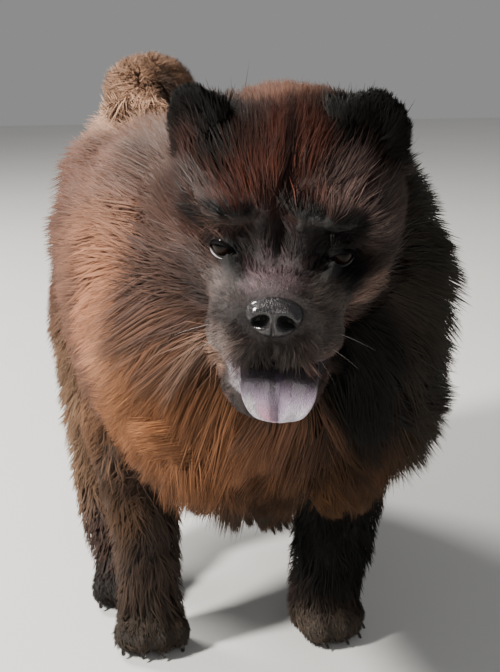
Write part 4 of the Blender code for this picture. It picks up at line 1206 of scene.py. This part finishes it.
    # each tuft's patch on the OFBake map: a cell for each body part, and in it the tuft's place on the part
    near = samples_near(root[keep])
    cells, cell = np.unique(sample_part[near], return_inverse=True)
    columns = math.ceil(math.sqrt(len(cells)))
    spot = sample_around[near] + chance.uniform(-0.006, 0.006, (count, 2))
    spot = (np.clip(spot, 0, 1) * 0.94 + 0.03 + np.stack([cell % columns, cell // columns], 1)) / columns
    patch = np.stack([blade_around / 2, blade_along], 1) * 0.003
    places = (spot[:, None] + patch).reshape(-1, 2)[corners_of]
    mesh.uv_layers.new(name="OFBake").uv.foreach_set("vector", places.astype(np.float32).ravel())
    piece(name, mesh, material)
    mesh.normals_split_custom_set_from_vertices(normals.reshape(-1, 3).astype(np.float32))


def fur_finish(name, roughness=0.55, shine=0.18):
    """Fur: the dog's colours with their painted light and shade, streaked along each tuft, with the streaks
    also as relief.
    """
    material, wire, feed = finish_named(name, Specular_IOR_Level=shine)
    place = wire.node("ShaderNodeAttribute", {"attribute_name": "strand"}, {}, 1)
    streaks = wire.grain(1.0, 3, place, (3.0, 1.4, 0))
    fine = wire.grain(1.0, 2, place, (9.0, 2.0, 0))
    lively = (streaks * 0.7 + fine * 0.5).range(0.35, 0.85, 0.70, 1.30)
    feed(
        Base_Color=lively.shade(wire.named("markings_and_painted_light")),
        Roughness=fine.range(0.3, 0.7, roughness - 0.08, roughness + 0.12),
        Normal=(streaks + fine * 0.6).bump(0.5, 0.0008),
    )
    return material


def on(*parts):
    return sum(soft_share(part_of == body_parts.index(part)) for part in parts)


# The body's coat. A long, harsh outer coat lies back over a dense woolly one, on the back, the sides and
# the rump. It is made in two pieces, one to a side.
body_fur = fur_finish("harsh_body_fur")
for name, side in (("coat_body_right", dog_at[:, 0] <= 0), ("coat_body_left", dog_at[:, 0] > 0)):
    where = on(trunk) * side
    coat(name, "body_coat", body_fur, where, tufts=21500, width=0.0024, tone=(0.78, 1.10), vary=0.7)

# The tail's plume. Fine, straight hair spreads to both sides of the tail, which is curled over the back. It
# is the dog's palest hair, and hardly clumps.
plume = fur_finish("tail_plume")
loose = {"tone": (0.86, 1.05), "vary": 0.4, "stray": 0.6, "bunch": 0.1}
coat("coat_tail", "body_coat", plume, on(tail), tufts=17500, width=0.0013, **loose)

# The breeches. The thighs' long, softer hair hangs down and back over the hocks, and is paler in front. It
# gives the hind legs their broad, straight outline.
breeches = fur_finish("breeches")
coat("coat_thighs", "leg_coat", breeches, on(thigh_right, thigh_left), tufts=17000, width=0.0024)

# The legs' and feet's coat. It is shorter, dense and close, and smallest on the toes. It stops just above
# the floor, so that the soles stay bare.
leg_fur = fur_finish("close_leg_fur", 0.6)
leg_where = on(foreleg_right, foreleg_left, hock_right, hock_left) * (1 - paw_share)
coat("coat_legs", "leg_coat", leg_fur, leg_where, tufts=18000, width=0.0018, wisp=0.006, lock=0.018)
paw_where = paw_share * ease(0.002, 0.008, dog_at[:, 2])
coat("coat_paws", "leg_coat", leg_fur, paw_where, tufts=8000, width=0.0014, wisp=0.003, lock=0.012)

# The ruff. The thick mane stands out round the face, and hangs from the chest in clumped locks. It is the
# dog's longest hair, made in a right and a left piece for the mane and again for the chest.
ruff_fur = fur_finish("ruff_fur")
for name, side in (("coat_ruff_right", dog_at[:, 0] <= 0.02), ("coat_ruff_left", dog_at[:, 0] > 0.02)):
    where = on(neck) * (1 - chest) * side
    coat(name, "ruff_coat", ruff_fur, where, tufts=26500, width=0.0021, vary=0.9, longest=0.115)
locks = {"tone": (0.10, 1.30), "vary": 2.0, "wisp": 0.010, "lock": 0.030, "curl": 0.24, "bunch": 0.6}
locks |= {"fade": 1.3, "stray": 1.4, "longest": 0.066}
for name, side in (("coat_chest_right", dog_at[:, 0] <= 0), ("coat_chest_left", dog_at[:, 0] > 0)):
    coat(name, "ruff_coat", ruff_fur, on(neck) * chest * side, tufts=17000, width=0.0021, **locks)

# The crown, cheeks and ears. Finer hair fans out from the face, up to a soft fuzz over the skull. The ears
# are thick and velvety.
crown_fur = fur_finish("crown_fur", 0.6, 0.10)
behind = ease(-0.005, 0.030, head_at[:, 1])
crown_where = head_share * behind * (1 - ear_share)
fine_hair = {"wisp": 0.006, "lock": 0.020, "vary": 0.6, "tone": (0.82, 1.10)}
coat("coat_crown", "mask_fur", crown_fur, crown_where, tufts=26000, width=0.0013, **fine_hair)
ear_fur = fur_finish("ear_velvet", 0.65)
velvet = {"wisp": 0.003, "lock": 0.012, "reach": (0.9, 1.5)}
coat("coat_ears", "mask_fur", ear_fur, ear_share, tufts=10000, width=0.0014, **velvet)

# The face's coat. Short, fine hair lies close on the brow, muzzle and chin, lighter and darker from tuft to
# tuft. It leaves the eyes, the nose leather and the lips bare.
mask_fur = fur_finish("mask_fur", 0.48, 0.16)
short_hair = {"wisp": 0.003, "lock": 0.010, "reach": (0.7, 1.3), "vary": 1.9, "tone": (0.55, 1.25)}
coat("coat_mask", "mask_fur", mask_fur, head_share * (1 - behind), tufts=26000, width=0.0008, **short_hair)

# The whiskers. A few stiff, pale hairs stand out of the muzzle's pads on both sides. Each is a long,
# tapered thread that bends down a little: its root, its way and its length.
whisker_made = bmesh.new()
whisker_thick, whisker_tip, whisker_bend = 0.00018, 0.00003, (0, 0.10, -0.22)
whiskers = (
    (0.031, -0.068, -0.040, (0.95, -0.20, -0.35), 0.034),
    (0.029, -0.073, -0.046, (0.70, -0.55, -0.60), 0.026),
    (0.036, -0.058, -0.036, (1.00, -0.10, -0.15), 0.038),
)
for side in (-1, 1):
    for x, y, z, way, length in whiskers:
        aim = Vector((side * way[0], way[1], way[2])).normalized()

        def thread(t, turn, start=Vector((side * x, y, z)), aim=aim, length=length):
            middle = np.array(start) + np.outer(t * length, aim) + np.outer(t**2 * length, whisker_bend)
            thick = whisker_thick * (1.02 - t) + whisker_tip
            across = np.stack([np.zeros(len(t)), np.cos(turn) * thick, np.sin(turn) * thick], 1)
            return carried(on_head, middle + across)

        sleeve(whisker_made, sides=6, rings=14, place=thread)
whisker_mesh = closed_mesh("whiskers", whisker_made)
bristle_finish, wire, feed = finish_named("pale_whisker", Roughness=0.35)
feed(Base_Color=wire.grain(60, 2).tint((0.16, 0.14, 0.13, 1), (0.38, 0.34, 0.33, 1)))
piece("whiskers", whisker_mesh, bristle_finish)

# The floor. It is a plain, pale studio floor of paper, level with the soles. It is no part of the dog, only
# what it stands on.
floor_made = bmesh.new()
bmesh.ops.create_grid(floor_made, x_segments=8, y_segments=8, size=6)
floor_mesh = bpy.data.meshes.new("floor")
floor_made.to_mesh(floor_mesh)
floor = put_in("floor", floor_mesh)
paper, wire, feed = finish_named("pale_floor", Roughness=0.8)
feed(Base_Color=wire.grain(3, 2).tint((0.66, 0.66, 0.65, 1), (0.70, 0.70, 0.69, 1)))
floor_mesh.materials.append(paper)

# The light. Round lamps with soft fronts: a key from the camera's upper left, a rim from behind the dog, a
# wide, weak fill from in front, and a pale room around them.
middle = home + Vector((0, 0, 0.32))


def softbox(name, place, size, power, colour):
    """A round, soft lamp at a place seen from the dog's middle, and aimed at it."""
    lamp = bpy.data.lights.new(name, "AREA")
    lamp.shape, lamp.size, lamp.energy, lamp.color = "DISK", size, power, colour
    made = put_in(name, lamp)
    made.location = middle + Vector(place)
    made.rotation_euler = (-Vector(place)).to_track_quat("-Z", "Y").to_euler()


softbox("key_light", (-2.3, -0.5, 1.9), 0.5, 225, (1.0, 0.95, 0.88))
softbox("rim_light", (-1.3, 2.0, 2.2), 0.9, 130, (1.0, 0.96, 0.90))
softbox("fill_light", (0.2, -2.8, 1.2), 2.2, 14, (1.0, 0.98, 0.95))
room = bpy.data.worlds.new("room")
room.use_nodes = True
walls = room.node_tree.nodes["Background"].inputs
walls["Color"].default_value, walls["Strength"].default_value = (0.92, 0.92, 0.92, 1), 0.30
bpy.context.scene.world = room

# The camera. It stands in front of the dog and to its right, a little above it, and looks down. Its lens is
# given by its focal length in pixels of the photograph, 672 high.
sensor, focal, photo_height = 36, 1300, 672
lens = bpy.data.cameras.new("camera")
lens.sensor_fit, lens.sensor_width, lens.lens = "AUTO", sensor, sensor * focal / photo_height
camera = put_in("camera", lens)
camera.location = home + Vector((-0.2215, -1.149, 0.60))
turned, tipped = math.radians(11.5), math.radians(14)
level = math.cos(tipped)
aim = Vector((math.sin(turned) * level, math.cos(turned) * level, -math.sin(tipped)))
camera.rotation_euler = aim.to_track_quat("-Z", "Y").to_euler()
bpy.context.scene.camera = camera
